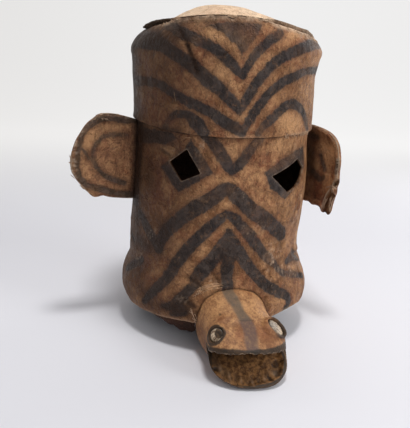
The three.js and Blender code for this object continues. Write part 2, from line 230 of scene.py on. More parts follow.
def shoulder_inset(theta, z):
    sine = np.sin(np.radians(theta))
    side = 1 - SHOULDER_SLANT * sine
    share = np.clip(1 - (crown_height(theta) - z) / (SHOULDER_DEPTH * side), 0, 1)
    return SHOULDER_INSET * side * (0.5 + 0.5 * sine * sine) * share * share


def snout_excess(points):
    """How far points are outside the carved head's uncut form, in millimetres."""
    reach = -points[:, 1]
    centre, half, top, bottom, middle, lean = table_at(SNOUT_SECTIONS, reach).T
    z = points[:, 2] - middle
    above = z >= 0
    x = points[:, 0] - centre + lean * z
    tall = np.where(above, top - middle, middle - bottom)
    power = np.where(above, SNOUT_ROUNDNESS, SNOUT_FULLNESS)
    norm = (np.abs(x / half) ** power + np.abs(z / tall) ** power) ** (1 / power)
    excess = (norm - 1) * np.minimum(half, tall)
    return np.where(reach < 60, 99.0, excess)


def segment_distance(u, v, a, b):
    """The nearest place on a segment, from 0 at a to 1 at b, and how far away it is."""
    edge = b[:2] - a[:2]
    t = np.clip(((u - a[0]) * edge[0] + (v - a[1]) * edge[1]) / (edge @ edge), 0, 1)
    return t, np.hypot(u - a[0] - t * edge[0], v - a[1] - t * edge[1])


def polygon_depth(u, v, corners, per_unit=1.0):
    """Signed distance to a polygon's edge, positive inside."""
    corners = np.asarray(corners, float) * (per_unit, 1)
    inside = np.zeros(len(u), bool)
    nearest = np.full(len(u), 1e9)
    for a, b in zip(corners, np.roll(corners, -1, axis=0)):
        nearest = np.minimum(nearest, segment_distance(u, v, a, b)[1])
        crosses = (a[1] > v) != (b[1] > v)
        at = a[0] + (v - a[1]) / np.where(crosses, b[1] - a[1], 1) * (b[0] - a[0])
        inside ^= crosses & (u < at)
    return np.where(inside, nearest, -nearest)


def smooth_line(rows, parts=4):
    """The rows of a line with rounded bends."""
    rows = np.asarray(rows, float)
    rows = np.vstack([2 * rows[:1] - rows[1:2], rows, 2 * rows[-1:] - rows[-2:-1]])
    out = []
    for a, b, c, d in zip(rows, rows[1:], rows[2:], rows[3:]):
        for t in np.arange(parts) / parts:
            out.append(
                0.5 * (2 * b + (c - a) * t + (2 * a - 5 * b + 4 * c - d) * t**2
                       + (3 * b - a - 3 * c + d) * t**3)
            )
    out.append(rows[-2])
    return np.array(out)


def stroke_depth(u, v, strokes, per_unit=1.0):
    """Distance inside a set of painted strokes, each a list of u, v and width."""
    best = np.full(len(u), NO_PAINT)
    for stroke in strokes:
        line = smooth_line(stroke)
        line[:, 0] *= per_unit
        low = line[:, :2].min(0) - PAINT_REACH - STROKE_HALF
        high = line[:, :2].max(0) + PAINT_REACH + STROKE_HALF
        near = np.nonzero((u > low[0]) & (u < high[0]) & (v > low[1]) & (v < high[1]))[0]
        near_u, near_v = u[near], v[near]
        depth = np.full(len(near), NO_PAINT)
        for a, b in zip(line, line[1:]):
            t, away = segment_distance(near_u, near_v, a, b)
            depth = np.maximum(depth, lerp(a[2], b[2], t) / 2 - away)
        best[near] = np.maximum(best[near], depth)
    return best


def crease_depth(u, v, creases, per_unit):
    """How far creases go in, each a line of u, v and depth with its half width."""
    total = np.zeros(len(u))
    for line, half in creases:
        rows = smooth_line(line)
        rows[:, 0] *= per_unit
        nearest, deep = np.full(len(u), 1e9), np.zeros(len(u))
        for a, b in zip(rows, rows[1:]):
            t, away = segment_distance(u, v, a, b)
            closer = away < nearest
            nearest = np.where(closer, away, nearest)
            deep = np.where(closer, lerp(a[2], b[2], t), deep)
        across = nearest / half
        total += deep * (hump(across, 0, 1) - 0.45 * hump(across, 2, 1))
    return total


def blobs(u, v, rows, per_unit=1.0):
    """Sum of soft patches, each given as u, v, half sizes and strength."""
    total = np.zeros(len(u))
    for at_u, at_v, size_u, size_v, strength in rows:
        away = ((u - at_u * per_unit) / size_u) ** 2 + ((v - at_v) / size_v) ** 2
        total += strength * np.exp(-away)
    return total


def clipped_grid(us, vs, keep, wrap):
    """Cells of a grid where keep(u, v) is positive, cut along its zero line.

    Returns the u, v of each point and the faces as tuples of point numbers.
    """
    columns, rows = len(us), len(vs)
    u, v = np.repeat(us, rows), np.tile(vs, columns)
    value = keep(u, v)
    cells = columns if wrap else columns - 1
    i, j = (a.ravel() for a in np.meshgrid(np.arange(cells), np.arange(rows - 1), indexing="ij"))
    after = (i + 1) % columns
    corners = np.stack([i * rows + j, after * rows + j, after * rows + j + 1, i * rows + j + 1], 1)
    kept = value[corners] > 0
    faces = [tuple(c) for c in corners[kept.all(1)].tolist()]
    us_out, vs_out = list(u), list(v)
    cut = {}

    def crossing(a, b):
        key = (min(a, b), max(a, b))
        if key not in cut:
            t = value[key[0]] / (value[key[0]] - value[key[1]])
            ua, ub = u[key[0]], u[key[1]]
            if wrap and abs(ub - ua) > 180:
                ub += math.copysign(360, ua - ub)
            cut[key] = len(us_out)
            us_out.append(lerp(ua, ub, t))
            vs_out.append(lerp(v[key[0]], v[key[1]], t))
        return cut[key]

    for cell, flags in zip(corners[kept.any(1) & ~kept.all(1)], kept[kept.any(1) & ~kept.all(1)]):
        face = []
        for k in range(4):
            a, b = int(cell[k]), int(cell[(k + 1) % 4])
            if flags[k]:
                face.append(a)
            if flags[k] != flags[(k + 1) % 4]:
                face.append(crossing(a, b))
        if len(face) > 2:
            faces.append(tuple(face))
    used = np.unique(np.concatenate([np.array(f) for f in faces]))
    number = np.full(len(us_out), -1)
    number[used] = np.arange(len(used))
    faces = [tuple(number[list(f)].tolist()) for f in faces]
    return np.array(us_out)[used], np.array(vs_out)[used], faces


def closed_shell(outer, inner, faces):
    """Joins an outer and an inner skin along every open edge of the faces."""
    count = len(outer)
    edges = {}
    for face in faces:
        for a, b in zip(face, face[1:] + face[:1]):
            edges[(a, b)] = True
    walls = [(b, a, a + count, b + count) for a, b in edges if (b, a) not in edges]
    backs = [tuple(reversed([p + count for p in face])) for face in faces]
    return np.vstack([outer, inner]), faces + backs + walls


def add_object(name, data):
    made = bpy.data.objects.new(name, data)
    bpy.context.collection.objects.link(made)
    return made


def shade_smooth(mesh):
    mesh.polygons.foreach_set("use_smooth", np.ones(len(mesh.polygons), bool))


def add_values(mesh, attributes):
    """Stores named values for each point of a mesh, which the materials read."""
    for key, values in attributes.items():
        layer = mesh.attributes.new(key, "FLOAT", "POINT")
        layer.data.foreach_set("value", np.asarray(values, np.float32))


def mesh_object(name, points, faces, attributes=None, sharp=None):
    """A Blender object from points in millimetres, with a value for each point."""
    mesh = bpy.data.meshes.new(name)
    mesh.from_pydata(place(points).tolist(), [], faces)
    shade_smooth(mesh)
    if sharp:
        mesh.set_sharp_from_angle(angle=math.radians(sharp))
    add_values(mesh, attributes or {})
    mesh.update()
    return add_object(name, mesh)


def skin_values(outer, inner):
    """Values for both skins of a shell. What inner doesn't name is 0 on the inner one."""
    both = {}
    for key, values in outer.items():
        both[key] = np.concatenate([values, np.zeros(len(values)) + inner.get(key, 0)])
        if key not in ("paint", "tone"):
            both[key] = np.clip(both[key], 0, 1)
    return both


def strand_tubes(lines, radius):
    """Thin closed tubes along lines of points, with four sides and pointed ends."""
    points, faces = [], []
    for line in lines:
        line = np.asarray(line, float)
        along = np.gradient(line, axis=0)
        along /= np.linalg.norm(along, axis=1)[:, None]
        side = np.cross(along, (0.31, 0.17, 0.93))
        side /= np.linalg.norm(side, axis=1)[:, None]
        other = np.cross(along, side)
        start = len(points)
        last = len(line) - 1
        for k, middle in enumerate(line):
            size = radius * (0.35 if k in (0, last) else 1.0)
            for a, b in ((1, 0), (0, 1), (-1, 0), (0, -1)):
                points.append(middle + size * (a * side[k] + b * other[k]))
        for k in range(last):
            for i in range(4):
                here, after = start + 4 * k, start + 4 * k + 4
                n = (i + 1) % 4
                faces.append((here + i, here + n, after + n, after + i))
        faces.append((start + 3, start + 2, start + 1, start))
        faces.append(tuple(start + 4 * last + i for i in range(4)))
    return np.array(points), faces


def with_strands(points, faces, attributes, lines, radius, **values):
    """Adds strands to a mesh, with one value of each attribute all over them."""
    more, more_faces = strand_tubes(lines, radius)
    shift = len(points)
    faces = faces + [tuple(shift + q for q in face) for face in more_faces]
    for key in attributes:
        tail = np.full(len(more), values.get(key, NO_PAINT if key == "paint" else 0.0))
        attributes[key] = np.concatenate([attributes[key], tail])
    return np.vstack([points, more]), faces


def lay_strands(points, faces, attributes, groups, on_cloth):
    """Lays groups of flat lines on the cloth, each with a radius and its values."""
    for flat_lines, radius, values in groups:
        lines = [on_cloth(line[:, 0], line[:, 1]) for line in flat_lines]
        points, faces = with_strands(points, faces, attributes, lines, radius, **values)
    return points, faces


def straight_lines(ends):
    """Straight lines, each given as the angle and height of both its ends."""
    return [np.linspace(end[:2], end[2:], 5) for end in ends]


def loose_lines(draw, start, end, count, scatter, bow=0.0):
    """Lines from near one place to near another, each a little different."""
    lines = []
    for _ in range(count):
        a = np.asarray(start, float) + draw.uniform(-1, 1, 2) * scatter
        b = np.asarray(end, float) + draw.uniform(-1, 1, 2) * scatter
        t = np.linspace(0, 1, 6)[:, None]
        line = lerp(a, b, t)
        line[:, 1] += bow * np.sin(t[:, 0] * math.pi) * draw.uniform(0.5, 1.5)
        line += draw.uniform(-1, 1, line.shape) * 0.06 * np.abs(b - a).max()
        lines.append(line)
    return lines


def cloth_marks(u, z, base, marks, per_unit):
    """Values of the painted marks, stains, wear and painted shade at points of the cloth."""
    strokes, areas, tones, smears_and_shade, fades = marks
    at_u = u + 1.5 * noise(base, 15, 11, 3, 0.6)
    at_z = z + 1.5 * noise(base, 15, 12, 3, 0.6)
    paint = stroke_depth(at_u, at_z, strokes, per_unit) + BLEED
    for area in areas:
        paint = np.maximum(paint, polygon_depth(at_u, at_z, area, per_unit))
    return {
        "paint": paint,
        "tone": blobs(at_u, at_z, tones, per_unit),
        "grime": blobs(at_u, at_z, smears_and_shade, per_unit),
        "fade": blobs(at_u, at_z, fades, per_unit),
    }


def finish_piece(made, slot, material, *nodes):
    made.data.materials.clear()
    made.data.materials.append(material)
    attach(made, "root")
    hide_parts(*nodes)


# Materials


class Graph:
    """A material's node graph, written as nested calls."""

    def __init__(self, name):
        self.material = bpy.data.materials.new(name)
        self.material.use_nodes = True
        self.tree = self.material.node_tree
        self.shader = self.tree.nodes["Principled BSDF"]

    def put(self, socket, value):
        if isinstance(value, bpy.types.NodeSocket):
            self.tree.links.new(value, socket)
        elif isinstance(value, (tuple, list)) and socket.type == "RGBA":
            socket.default_value = (*value[:3], 1.0)
        else:
            socket.default_value = value

    def node(self, kind, inputs=(), out=0, **settings):
        made = self.tree.nodes.new(kind)
        for key, value in settings.items():
            setattr(made, key, value)
        for key, value in dict(inputs).items():
            self.put(made.inputs[key], value)
        return made.outputs[out]

    def value(self, name):
        return self.node("ShaderNodeAttribute", out=2, attribute_name=name)

    def at(self, scale=(1, 1, 1)):
        where = self.node("ShaderNodeTexCoord", out=3)
        return self.node("ShaderNodeMapping", {0: where, 3: scale})

    def noise(self, scale, stretch=(1, 1, 1), detail=3.0, rough=0.55, warp=0.0):
        return self.node(
            "ShaderNodeTexNoise",
            {"Vector": self.at(stretch), "Scale": scale, "Detail": detail,
             "Roughness": rough, "Distortion": warp},
        )

    def math(self, operation, a, b=0.0, clamp=False):
        return self.node("ShaderNodeMath", {0: a, 1: b}, operation=operation, use_clamp=clamp)

    def swing(self, value, amount):
        return self.math("MULTIPLY", self.math("SUBTRACT", value, 0.5), amount)

    def total(self, first, *others):
        for other in others:
            first = self.math("ADD", first, other)
        return first

    def span(self, value, low, high, new_low=0.0, new_high=1.0):
        return self.node(
            "ShaderNodeMapRange",
            {0: value, 1: low, 2: high, 3: new_low, 4: new_high},
            interpolation_type="SMOOTHSTEP",
        )

    def mix(self, share, a, b, blend="MIX"):
        return self.node(
            "ShaderNodeMix", {0: share, 6: a, 7: b}, out=2, data_type="RGBA", blend_type=blend
        )

    def tint(self, colour, share, amount, towards):
        """A colour moved towards another one, by an amount of a share."""
        return self.mix(self.math("MULTIPLY", share, amount), colour, towards)

    def bump(self, height, distance, strength, normal=None):
        inputs = {"Height": height, "Distance": distance, "Strength": strength}
        if normal is not None:
            inputs["Normal"] = normal
        return self.node("ShaderNodeBump", inputs)

    def finish(self, colour, roughness, normal, **fixed):
        self.put(self.shader.inputs["Base Color"], colour)
        self.put(self.shader.inputs["Roughness"], roughness)
        self.put(self.shader.inputs["Normal"], normal)
        for key, value in fixed.items():
            self.shader.inputs[key.replace("_", " ")].default_value = value
        return self.material


TAN = (0.545, 0.290, 0.132)
BROWN = (0.190, 0.078, 0.030)
RED = (0.190, 0.060, 0.025)
PAINT = (0.0190, 0.0165, 0.0165)
PAINT_WORN = (0.070, 0.055, 0.048)
PAINT_COLD = (0.024, 0.025, 0.028)
BLEED = 0.7  # how far the paint has run past its strokes, in mm
SMUDGE_AND_SHADE = (0.075, 0.038, 0.026)
GRIME_AND_SHADE = (0.032, 0.0150, 0.0075)
SPECK = (0.09, 0.045, 0.028)


def cloth_material(name, tan, brown, red, paint=PAINT, gloss=0.55, bare=(0.66, 0.47, 0.32)):
    g = Graph(name)
    fibres = g.noise(420, (1, 1, 0.75), 4.0, 0.68, 0.9)
    strands = g.noise(1200, (1, 1, 0.5), 2.0, 0.6)
    mottle = g.noise(200, (1, 1, 0.85), 5.0, 0.66, 0.8)
    clouds = g.noise(80, (1, 1, 0.9), 4.0, 0.6, 1.2)
    patches = g.noise(30, (1, 1, 0.9), 3.0, 0.6, 0.8)
    drift = g.noise(14, (1, 1, 1), 3.0, 0.6)
    folds = g.math("ABSOLUTE", g.math("SUBTRACT", g.noise(62, (1, 1, 0.8), 4.0, 0.62, 0.5), 0.5))
    level = g.total(
        g.value("tone"), g.swing(patches, 2.2), g.swing(clouds, 2.4), g.swing(mottle, 1.8),
        g.swing(fibres, 1.7),
    )
    hue = g.total(drift, g.swing(patches, 0.5))
    warm = g.mix(g.span(hue, 0.42, 0.58), brown, red)
    colour = g.mix(g.span(level, -0.75, 1.25), warm, tan)
    shade = g.mix(g.span(strands, 0.3, 0.7), (0.80, 0.79, 0.78), (1.15, 1.15, 1.15))
    colour = g.mix(1.0, colour, shade, "MULTIPLY")
    specks = g.span(g.noise(520, (1, 1, 0.7), 2.0, 0.5), 0.60, 0.70)
    colour = g.tint(colour, specks, 0.30, SPECK)
    # Darker along the fine creases: painted shade
    colour = g.tint(colour, g.span(folds, 0.022, 0.0), 0.22, SMUDGE_AND_SHADE)
    stains = g.span(g.noise(115, (1, 1, 0.9), 5.0, 0.7, 0.6), 0.54, 0.68)
    colour = g.tint(colour, stains, 0.45, SMUDGE_AND_SHADE)
    roughness = g.span(mottle, 0.3, 0.7, gloss - 0.13, gloss + 0.15)
    if paint:
        edge = g.total(
            g.value("paint"), g.swing(clouds, 5.0), g.swing(mottle, 5.5), g.swing(fibres, 1.5)
        )
        mask = g.span(edge, -1.5, 1.1)
        worn = g.span(g.noise(150, (1, 1, 0.8), 5.0, 0.72, 0.6), 0.50, 0.72)
        mask = g.math("SUBTRACT", mask, g.math("MULTIPLY", worn, 0.46), clamp=True)
        mask = g.math("MULTIPLY", mask, g.math("SUBTRACT", 1.0, g.value("fade")))
        colour = g.tint(colour, g.span(edge, -6.0, 0.0), 0.32, SMUDGE_AND_SHADE)
        ink = g.mix(g.span(g.noise(70, (1, 1, 0.9), 5.0, 0.72, 0.6), 0.40, 0.64), paint, PAINT_WORN)
        ink = g.tint(ink, g.span(drift, 0.48, 0.60), 0.35, PAINT_COLD)
        colour = g.tint(colour, mask, 0.94, ink)
    # Darkens the cloth for dirt, and for painted shade in folds, joins, under edges and on the viewer's left
    colour = g.mix(g.value("grime"), colour, GRIME_AND_SHADE)
    colour = g.mix(g.value("bare"), colour, bare)
    normal = g.bump(clouds, 0.0045, 0.75)
    normal = g.bump(g.span(folds, 0.0, 0.045), 0.0011, 0.85, normal)
    normal = g.bump(mottle, 0.0018, 0.8, normal)
    normal = g.bump(fibres, 0.0006, 0.7, normal)
    normal = g.bump(strands, 0.0001, 0.4, normal)
    return g.finish(colour, roughness, normal, Specular_IOR_Level=0.20)


def wood_material():
    g = Graph("carved_wood")
    grain = g.noise(420, (1, 0.25, 1), 4.0, 0.6)
    mottle = g.noise(230, (1, 0.8, 1), 4.0, 0.68, 0.4)
    patches = g.noise(60, (1, 1, 1), 4.0, 0.65, 0.6)
    level = g.total(g.value("tone"), g.swing(patches, 3.4), g.swing(mottle, 4.4), g.swing(grain, 1.8))
    colour = g.mix(g.span(level, -1.2, 1.3), (0.205, 0.083, 0.032), (0.54, 0.285, 0.120))
    colour = g.tint(colour, g.value("red"), 0.45, (0.32, 0.105, 0.04))
    specks = g.span(g.noise(700, (1, 0.7, 1), 2.0, 0.5), 0.56, 0.68)
    colour = g.tint(colour, specks, 0.55, (0.13, 0.055, 0.025))
    wet = g.span(g.total(mottle, g.swing(g.value("ridge"), 0.4)), 0.34, 0.66)
    wet = g.mix(wet, (0.070, 0.030, 0.011), (0.28, 0.134, 0.047))
    colour = g.mix(g.value("mouth"), colour, wet)
    edge = g.total(g.value("paint"), g.swing(mottle, 5.0), g.swing(grain, 3.0))
    ink = g.mix(g.value("cold"), (0.105, 0.080, 0.055), (0.098, 0.066, 0.058))
    ink = g.tint(ink, g.span(mottle, 0.45, 0.65), 0.5, (0.20, 0.12, 0.075))
    cover = g.math("SUBTRACT", 0.86, g.math("MULTIPLY", g.value("cold"), 0.14))
    colour = g.tint(colour, g.span(edge, -2.6, 1.9), cover, ink)
    # Darker where the head's value says: its dark marks and dirt, with painted shade
    dark = g.math("MULTIPLY", g.value("grime"), g.span(mottle, 0.25, 0.65, 0.78, 1.0))
    colour = g.mix(dark, colour, (0.017, 0.013, 0.009))
    colour = g.mix(g.value("bare"), colour, (0.60, 0.40, 0.25))
    normal = g.bump(patches, 0.0020, 0.5)
    normal = g.bump(mottle, 0.0010, 0.7, normal)
    normal = g.bump(grain, 0.0004, 0.6, normal)
    return g.finish(colour, g.span(mottle, 0.3, 0.7, 0.45, 0.65), normal, Specular_IOR_Level=0.3)


def inlay_material():
    g = Graph("eye_inlay")
    streaks = g.noise(420, (0.3, 1, 0.5), 4.0, 0.75)
    cloud = g.noise(260, (1, 1, 1), 4.0, 0.6)
    colour = g.mix(g.span(streaks, 0.40, 0.53), (0.17, 0.10, 0.055), (0.66, 0.51, 0.35))
    edge = g.total(g.value("paint"), g.swing(cloud, 4.0))
    pupil = g.mix(g.span(cloud, 0.4, 0.65), (0.030, 0.018, 0.010), (0.13, 0.075, 0.035))
    colour = g.mix(g.span(edge, -0.5, 0.5), colour, pupil)
    colour = g.mix(g.value("grime"), colour, (0.045, 0.03, 0.02))
    normal = g.bump(streaks, 0.0004, 0.6)
    return g.finish(colour, g.span(cloud, 0.2, 0.8, 0.3, 0.5), normal, Specular_IOR_Level=0.5)


CLOTH = cloth_material("bark_cloth", TAN, BROWN, RED)
CROWN_CLOTH = cloth_material("crown_cloth", TAN, BROWN, RED)
EAR_CLOTH = cloth_material(
    "ear_cloth", (0.50, 0.265, 0.125), (0.205, 0.085, 0.042), (0.22, 0.066, 0.030),
    (0.030, 0.027, 0.019), bare=(0.56, 0.43, 0.31),
)
RAW_CLOTH = cloth_material(
    "raw_cloth", (0.86, 0.64, 0.44), (0.72, 0.48, 0.31), (0.62, 0.38, 0.23), None, 0.75
)
# The lining's colours are very dark: painted shade under the rim
SHADED_LINING = cloth_material(
    "old_lining", (0.075, 0.035, 0.022), (0.035, 0.016, 0.010), (0.05, 0.018, 0.012), None, 0.8
)
WOOD = wood_material()
INLAY = inlay_material()

# Painted marks: angle, height and width

# Surface millimetres for each degree round the face, the crown and the lid
FACE_MM, HAT_MM, LID_MM = 2.05, 2.1, 1.9

HAT_STROKES = [
    [(-54, 396, 7), (-46, 392, 9), (-37, 386, 11), (-28, 380, 11), (-20.5, 373, 11),
     (-13, 362, 11), (-8, 352, 9), (-5, 344, 6)],
    [(-5, 345, 6), (-2, 358, 8), (3, 374, 9), (9, 386, 10), (16, 395, 8)],
    [(-98, 374, 13), (-70, 375, 17), (-54, 373, 15), (-43, 364, 14), (-33, 353, 14),
     (-26, 342, 15), (-18, 331, 14), (-12, 320, 13), (-7, 310, 10), (-5, 304, 6)],
    [(-5, 305, 6), (-1.5, 320, 9), (3, 338, 10), (9, 353, 10), (16, 366, 11), (27, 376, 12),
     (42, 384, 12), (60, 387, 10)],
    [(-82, 326, 9), (-58, 328, 9), (-47, 322, 10), (-37, 314, 11), (-27.5, 307, 11),
     (-20, 300, 11), (-13.5, 292, 12), (-6, 286, 12), (-2.5, 281, 10)],
    [(-2.5, 282, 9), (1, 295, 10), (5.5, 312, 10), (11, 326, 10), (19, 339, 10), (29, 348, 10),
     (43, 354, 8)],
    [(-49, 278, 5), (-46, 289, 6), (-40, 296, 8), (-34, 295, 10), (-29, 288, 14), (-24, 278, 11)],
    [(7, 281, 6), (12, 293, 9), (19, 305, 10), (25.5, 314, 11), (31, 315, 10), (38, 308, 9),
     (45, 296, 8), (51, 280, 7)],
    # The bands run on round the back, which the photograph doesn't show
    [(60, 387, 10), (90, 388, 11), (120, 384, 11), (150, 380, 12), (186, 377, 12)],
    [(-186, 377, 12), (-150, 374, 12), (-120, 373, 13), (-98, 374, 13)],
    [(43, 354, 8), (70, 352, 8), (100, 344, 9), (140, 334, 9), (186, 329, 9)],
    [(-186, 329, 9), (-140, 326, 9), (-110, 325, 9), (-82, 326, 9)],
]
HAT_AREAS = [
    [(-25, 399), (-17, 402), (-8, 403), (4, 403), (2, 392), (-2, 381), (-5.7, 369), (-9.3, 379),
     (-16, 390)],
]
FACE_STROKES = [
    [(-24, 275, 11), (-17.5, 262, 13), (-13, 251, 13), (-9.5, 240, 12), (-7, 233, 7)],
    [(9, 273, 9), (3, 259, 11), (-1.5, 246, 11), (-5.5, 237, 9), (-7, 233, 7)],
    [(-8, 216, 6), (-13, 208, 16), (-19, 197, 17), (-27, 185, 17), (-35, 171, 16.5),
     (-42.5, 155, 16), (-48, 138, 16), (-50, 122, 12)],
    [(-9, 216, 7), (-5, 207, 16), (3, 192, 17), (12, 179, 18), (21.5, 166, 17), (33, 149, 16)],
    [(-73, 158, 10), (-63.5, 147, 13), (-56, 134, 13), (-50, 122, 12)],
    [(-8, 182, 7), (-12, 174, 12), (-19, 159, 14), (-26, 141, 14), (-33, 121, 14), (-40, 98, 13),
     (-46, 80, 12), (-52, 62, 10), (-57, 48, 7)],
    [(-8, 182, 7), (-3, 175, 11), (4, 161, 13), (10, 148, 13), (17, 132, 11), (24, 120, 11),
     (31, 105, 8)],
    [(-6, 158, 6), (-8, 143, 15), (-12.5, 125, 16), (-18, 110, 16), (-25, 92, 12)],
    [(-6, 158, 7), (-4.7, 141, 16), (-4.2, 123, 15), (-5, 105, 14), (-6, 86, 12)],
    [(-6, 158, 6), (-0.7, 141, 13), (6, 121, 15), (12.7, 103, 15), (18.5, 88, 14), (26, 77, 12),
     (33.5, 69, 10), (36.5, 58, 9), (33.5, 47, 6)],
    [(30, 106, 6), (35, 96, 7), (44, 90, 7), (62, 76, 6)],
    [(42, 108, 8), (52, 110, 12), (64, 100, 8)],
    [(-24, 87, 8), (-29.5, 77, 10), (-33.5, 64, 12), (-37, 55, 11), (-43, 52, 6)],
    [(-36, 46, 8), (-30, 51, 9)],
    [(-84, 72, 7), (-75, 86, 11), (-66, 98, 7)],
    [(92, 196, 9), (112, 160, 12), (132, 122, 12), (156, 160, 12), (180, 196, 12), (196, 171, 12)],
    [(-196, 171, 12), (-180, 196, 12), (-156, 160, 12), (-132, 122, 12), (-112, 160, 12),
     (-92, 196, 9)],
    [(86, 120, 8), (112, 84, 10), (140, 72, 10), (186, 84, 10)],
    [(-186, 84, 10), (-140, 72, 10), (-112, 84, 10), (-98, 100, 8)],
]
FACE_AREAS = [
    [(-33, 268), (-18, 230), (-39, 201), (-54, 228), (-47, 238), (-37, 254)],
    [(13, 232), (25, 247), (40, 257), (51, 258), (54, 246), (53.8, 231), (46, 213), (38, 205),
     (31, 196), (18, 213)],
    [(-82, 268), (-46, 272), (-43, 265), (-49, 257), (-59, 255), (-78, 249)],
]
# Patches lighter (above 0) or darker and redder (below 0) than the cloth round them:
# angle, height, half sizes in millimetres, strength
FACE_TONES = [
    (-46, 246, 9, 8, 0.7), (-49, 249, 8, 5, 0.9), (-7, 258, 7, 9, 0.8), (-20, 138, 8, 14, 0.7),
    (-36, 126, 8, 14, 0.8),
    (25, 60, 13, 14, 0.6), (-20, 84, 16, 8, 0.6), (25, 264, 26, 8, 0.8), (8, 235, 22, 16, 0.45),
    (-30, 200, 20, 22, -0.1), (-58, 190, 22, 40, -0.5), (15, 208, 16, 14, 0.2),
    (33, 190, 16, 24, 0.25), (-60, 105, 26, 30, -0.35), (62, 160, 16, 60, 0.6),
    (-84, 190, 12, 60, 0.5), (-8, 193, 8, 6, 0.8), (-7, 166, 7, 5, 0.5), (45, 42, 18, 12, -0.1),
    (10, 92, 12, 10, -0.4), (-45, 60, 24, 20, -0.3), (-27, 108, 9, 12, 0.2), (-15, 225, 9, 9, 0.5),
    (28, 138, 8, 14, 0.3), (-10, 222, 14, 5, 0.5), (-26, 255, 6, 12, 0.4),
    (-72, 65, 18, 20, -0.25), (10, 130, 5, 10, 0.3),
]
HAT_TONES = [
    (-45, 386, 14, 6, 0.1), (24, 294, 13, 11, 1.4), (33, 288, 12, 9, 1.1), (-60, 345, 40, 14, -0.35),
    (-70, 295, 40, 16, -0.25), (3, 351, 8, 12, 0.6), (10, 367, 10, 9, 0.7), (-22, 389, 14, 8, 0.9),
    (-11, 377, 8, 9, 0.6), (-16, 349, 12, 9, 0.9), (-10, 334, 10, 9, 0.7), (-3, 298, 8, 7, 0.9),
    (4, 314, 5, 12, 0.4), (50, 330, 26, 26, 0.4), (-26, 327, 18, 8, 0.1), (60, 360, 20, 20, 0.3),
    (-40, 304, 20, 6, 0.2), (-33, 403, 18, 5, 0.6), (30, 395, 18, 5, 0.7), (-2, 362, 8, 6, 0.3),
    (18, 325, 9, 6, 0.3), (26, 300, 9, 4, 0.6), (-38, 374, 14, 5, 0.2), (13, 340, 6, 8, 0.2),
]
# Soft dark smudges, some of them painted shade by the ears, under the seam and along the viewer's left edge,
# and places where the paint has faded, given in the same way
HAT_SMEARS_AND_SHADE = [
    (-14, 398, 20, 7, 0.3), (-24, 400, 10, 6, 0.35), (-62, 380, 34, 10, 0.5),
    (-33, 350, 10, 7, 0.45), (-41, 388, 5, 8, 0.5), (-88, 340, 16, 40, 0.06), (-35, 286, 10, 6, 0.15),
    (-10, 285, 18, 5, 0.4), (-45, 276, 26, 3.5, 0.4), (-25, 342, 8, 8, 0.35), (86, 340, 10, 50, 0.2),
    (28, 308, 6, 4, 0.3), (50, 300, 6, 20, 0.25),
]
HAT_FADES = [
    (-3, 388, 12, 16, 0.62), (-12, 398, 16, 10, 0.3), (-47, 283, 8, 10, 0.75),
    (-70, 326, 26, 8, 0.3), (14, 394, 12, 6, 0.35), (9, 285, 10, 10, 0.4),
    (50, 385, 16, 8, 0.25), (-30, 381, 12, 5, 0.3), (-54, 393, 14, 6, 0.35), (49, 290, 8, 12, 0.3),
    (30, 375, 10, 6, 0.2), (-5, 288, 8, 6, 0.2), (40, 353, 10, 5, 0.2),
]
FACE_SMEARS_AND_SHADE = [
    (-7, 130, 9, 22, 0.35), (-60, 262, 40, 9, 0.3), (-64, 120, 30, 14, 0.45), (-30, 62, 16, 12, 0.35),
    (-60, 62, 20, 12, 0.3), (30, 150, 12, 12, 0.3), (-48, 150, 12, 12, 0.3), (60, 95, 20, 14, 0.2),
    (10, 82, 16, 8, 0.4), (40, 82, 16, 10, 0.25), (-12, 96, 8, 10, 0.25), (46, 64, 10, 12, 0.2),
    (-20, 50, 14, 8, 0.3), (-75, 150, 16, 20, 0.3), (-10, 270, 30, 3, 0.35), (-82, 230, 14, 40, 0.35),
    (-38, 52, 14, 9, 0.45), (-29, 58, 12, 8, 0.4), (-66, 84, 16, 14, 0.35), (-50, 48, 16, 8, 0.3),
    (-40, 250, 14, 12, 0.2), (-62, 215, 18, 30, 0.2),
]
FACE_FADES = [
    (-17, 256, 16, 16, 0.2), (4, 255, 14, 16, 0.22), (-14, 198, 26, 14, 0.12), (14, 178, 22, 20, 0.15),
    (-25, 238, 7, 16, 0.35), (30, 246, 18, 7, 0.3), (9, 268, 12, 10, 0.45),
    (-47, 242, 8, 10, 0.5), (25, 118, 12, 14, 0.35), (50, 108, 14, 8, 0.3),
    (45, 90, 20, 6, 0.4), (-38, 50, 14, 6, 0.2), (20, 240, 12, 8, 0.35), (36, 252, 14, 5, 0.35),
    (-8, 212, 6, 6, 0.25), (35, 205, 10, 8, 0.25), (-24, 92, 6, 8, 0.3), (54, 238, 8, 14, 0.3),
    (-78, 92, 12, 14, 0.2), (5, 160, 7, 7, 0.25),
]


def spread(spacings):
    """Values from runs of even steps, each given as start, end and step."""
    parts = [np.arange(a, b, s) for a, b, s in spacings]
    return np.concatenate(parts)


ROUND_DEGREES = spread([(-180, -104, 1.8), (-104, 104, 1.0), (104, 180, 1.8)])


def face_height(theta, share):
    return lerp(rim_height(theta), FACE_TOP, share)


def eye_depth(u, z):
    """How far points of the face are inside an eye hole."""
    return np.maximum.reduce([polygon_depth(u, z, corners, FACE_MM) for corners in EYE_HOLES])


def face_keep(theta, share):
    """Positive where there is cloth, outside the eye holes and the carved head."""
    z = face_height(theta, share)
    keep = np.full(len(theta), 50.0)
    front = np.abs(wrapped(theta)) < 70
    holes = eye_depth(wrapped(theta[front]) * FACE_MM, z[front])
    neck = snout_excess(tube_point(FACE_SECTIONS, theta[front], z[front])) - GAP
    keep[front] = np.minimum(keep[front], np.minimum(-holes, neck))
    return keep


SHADED_SIDE, SHADED_EDGE = 0.50, 0.30


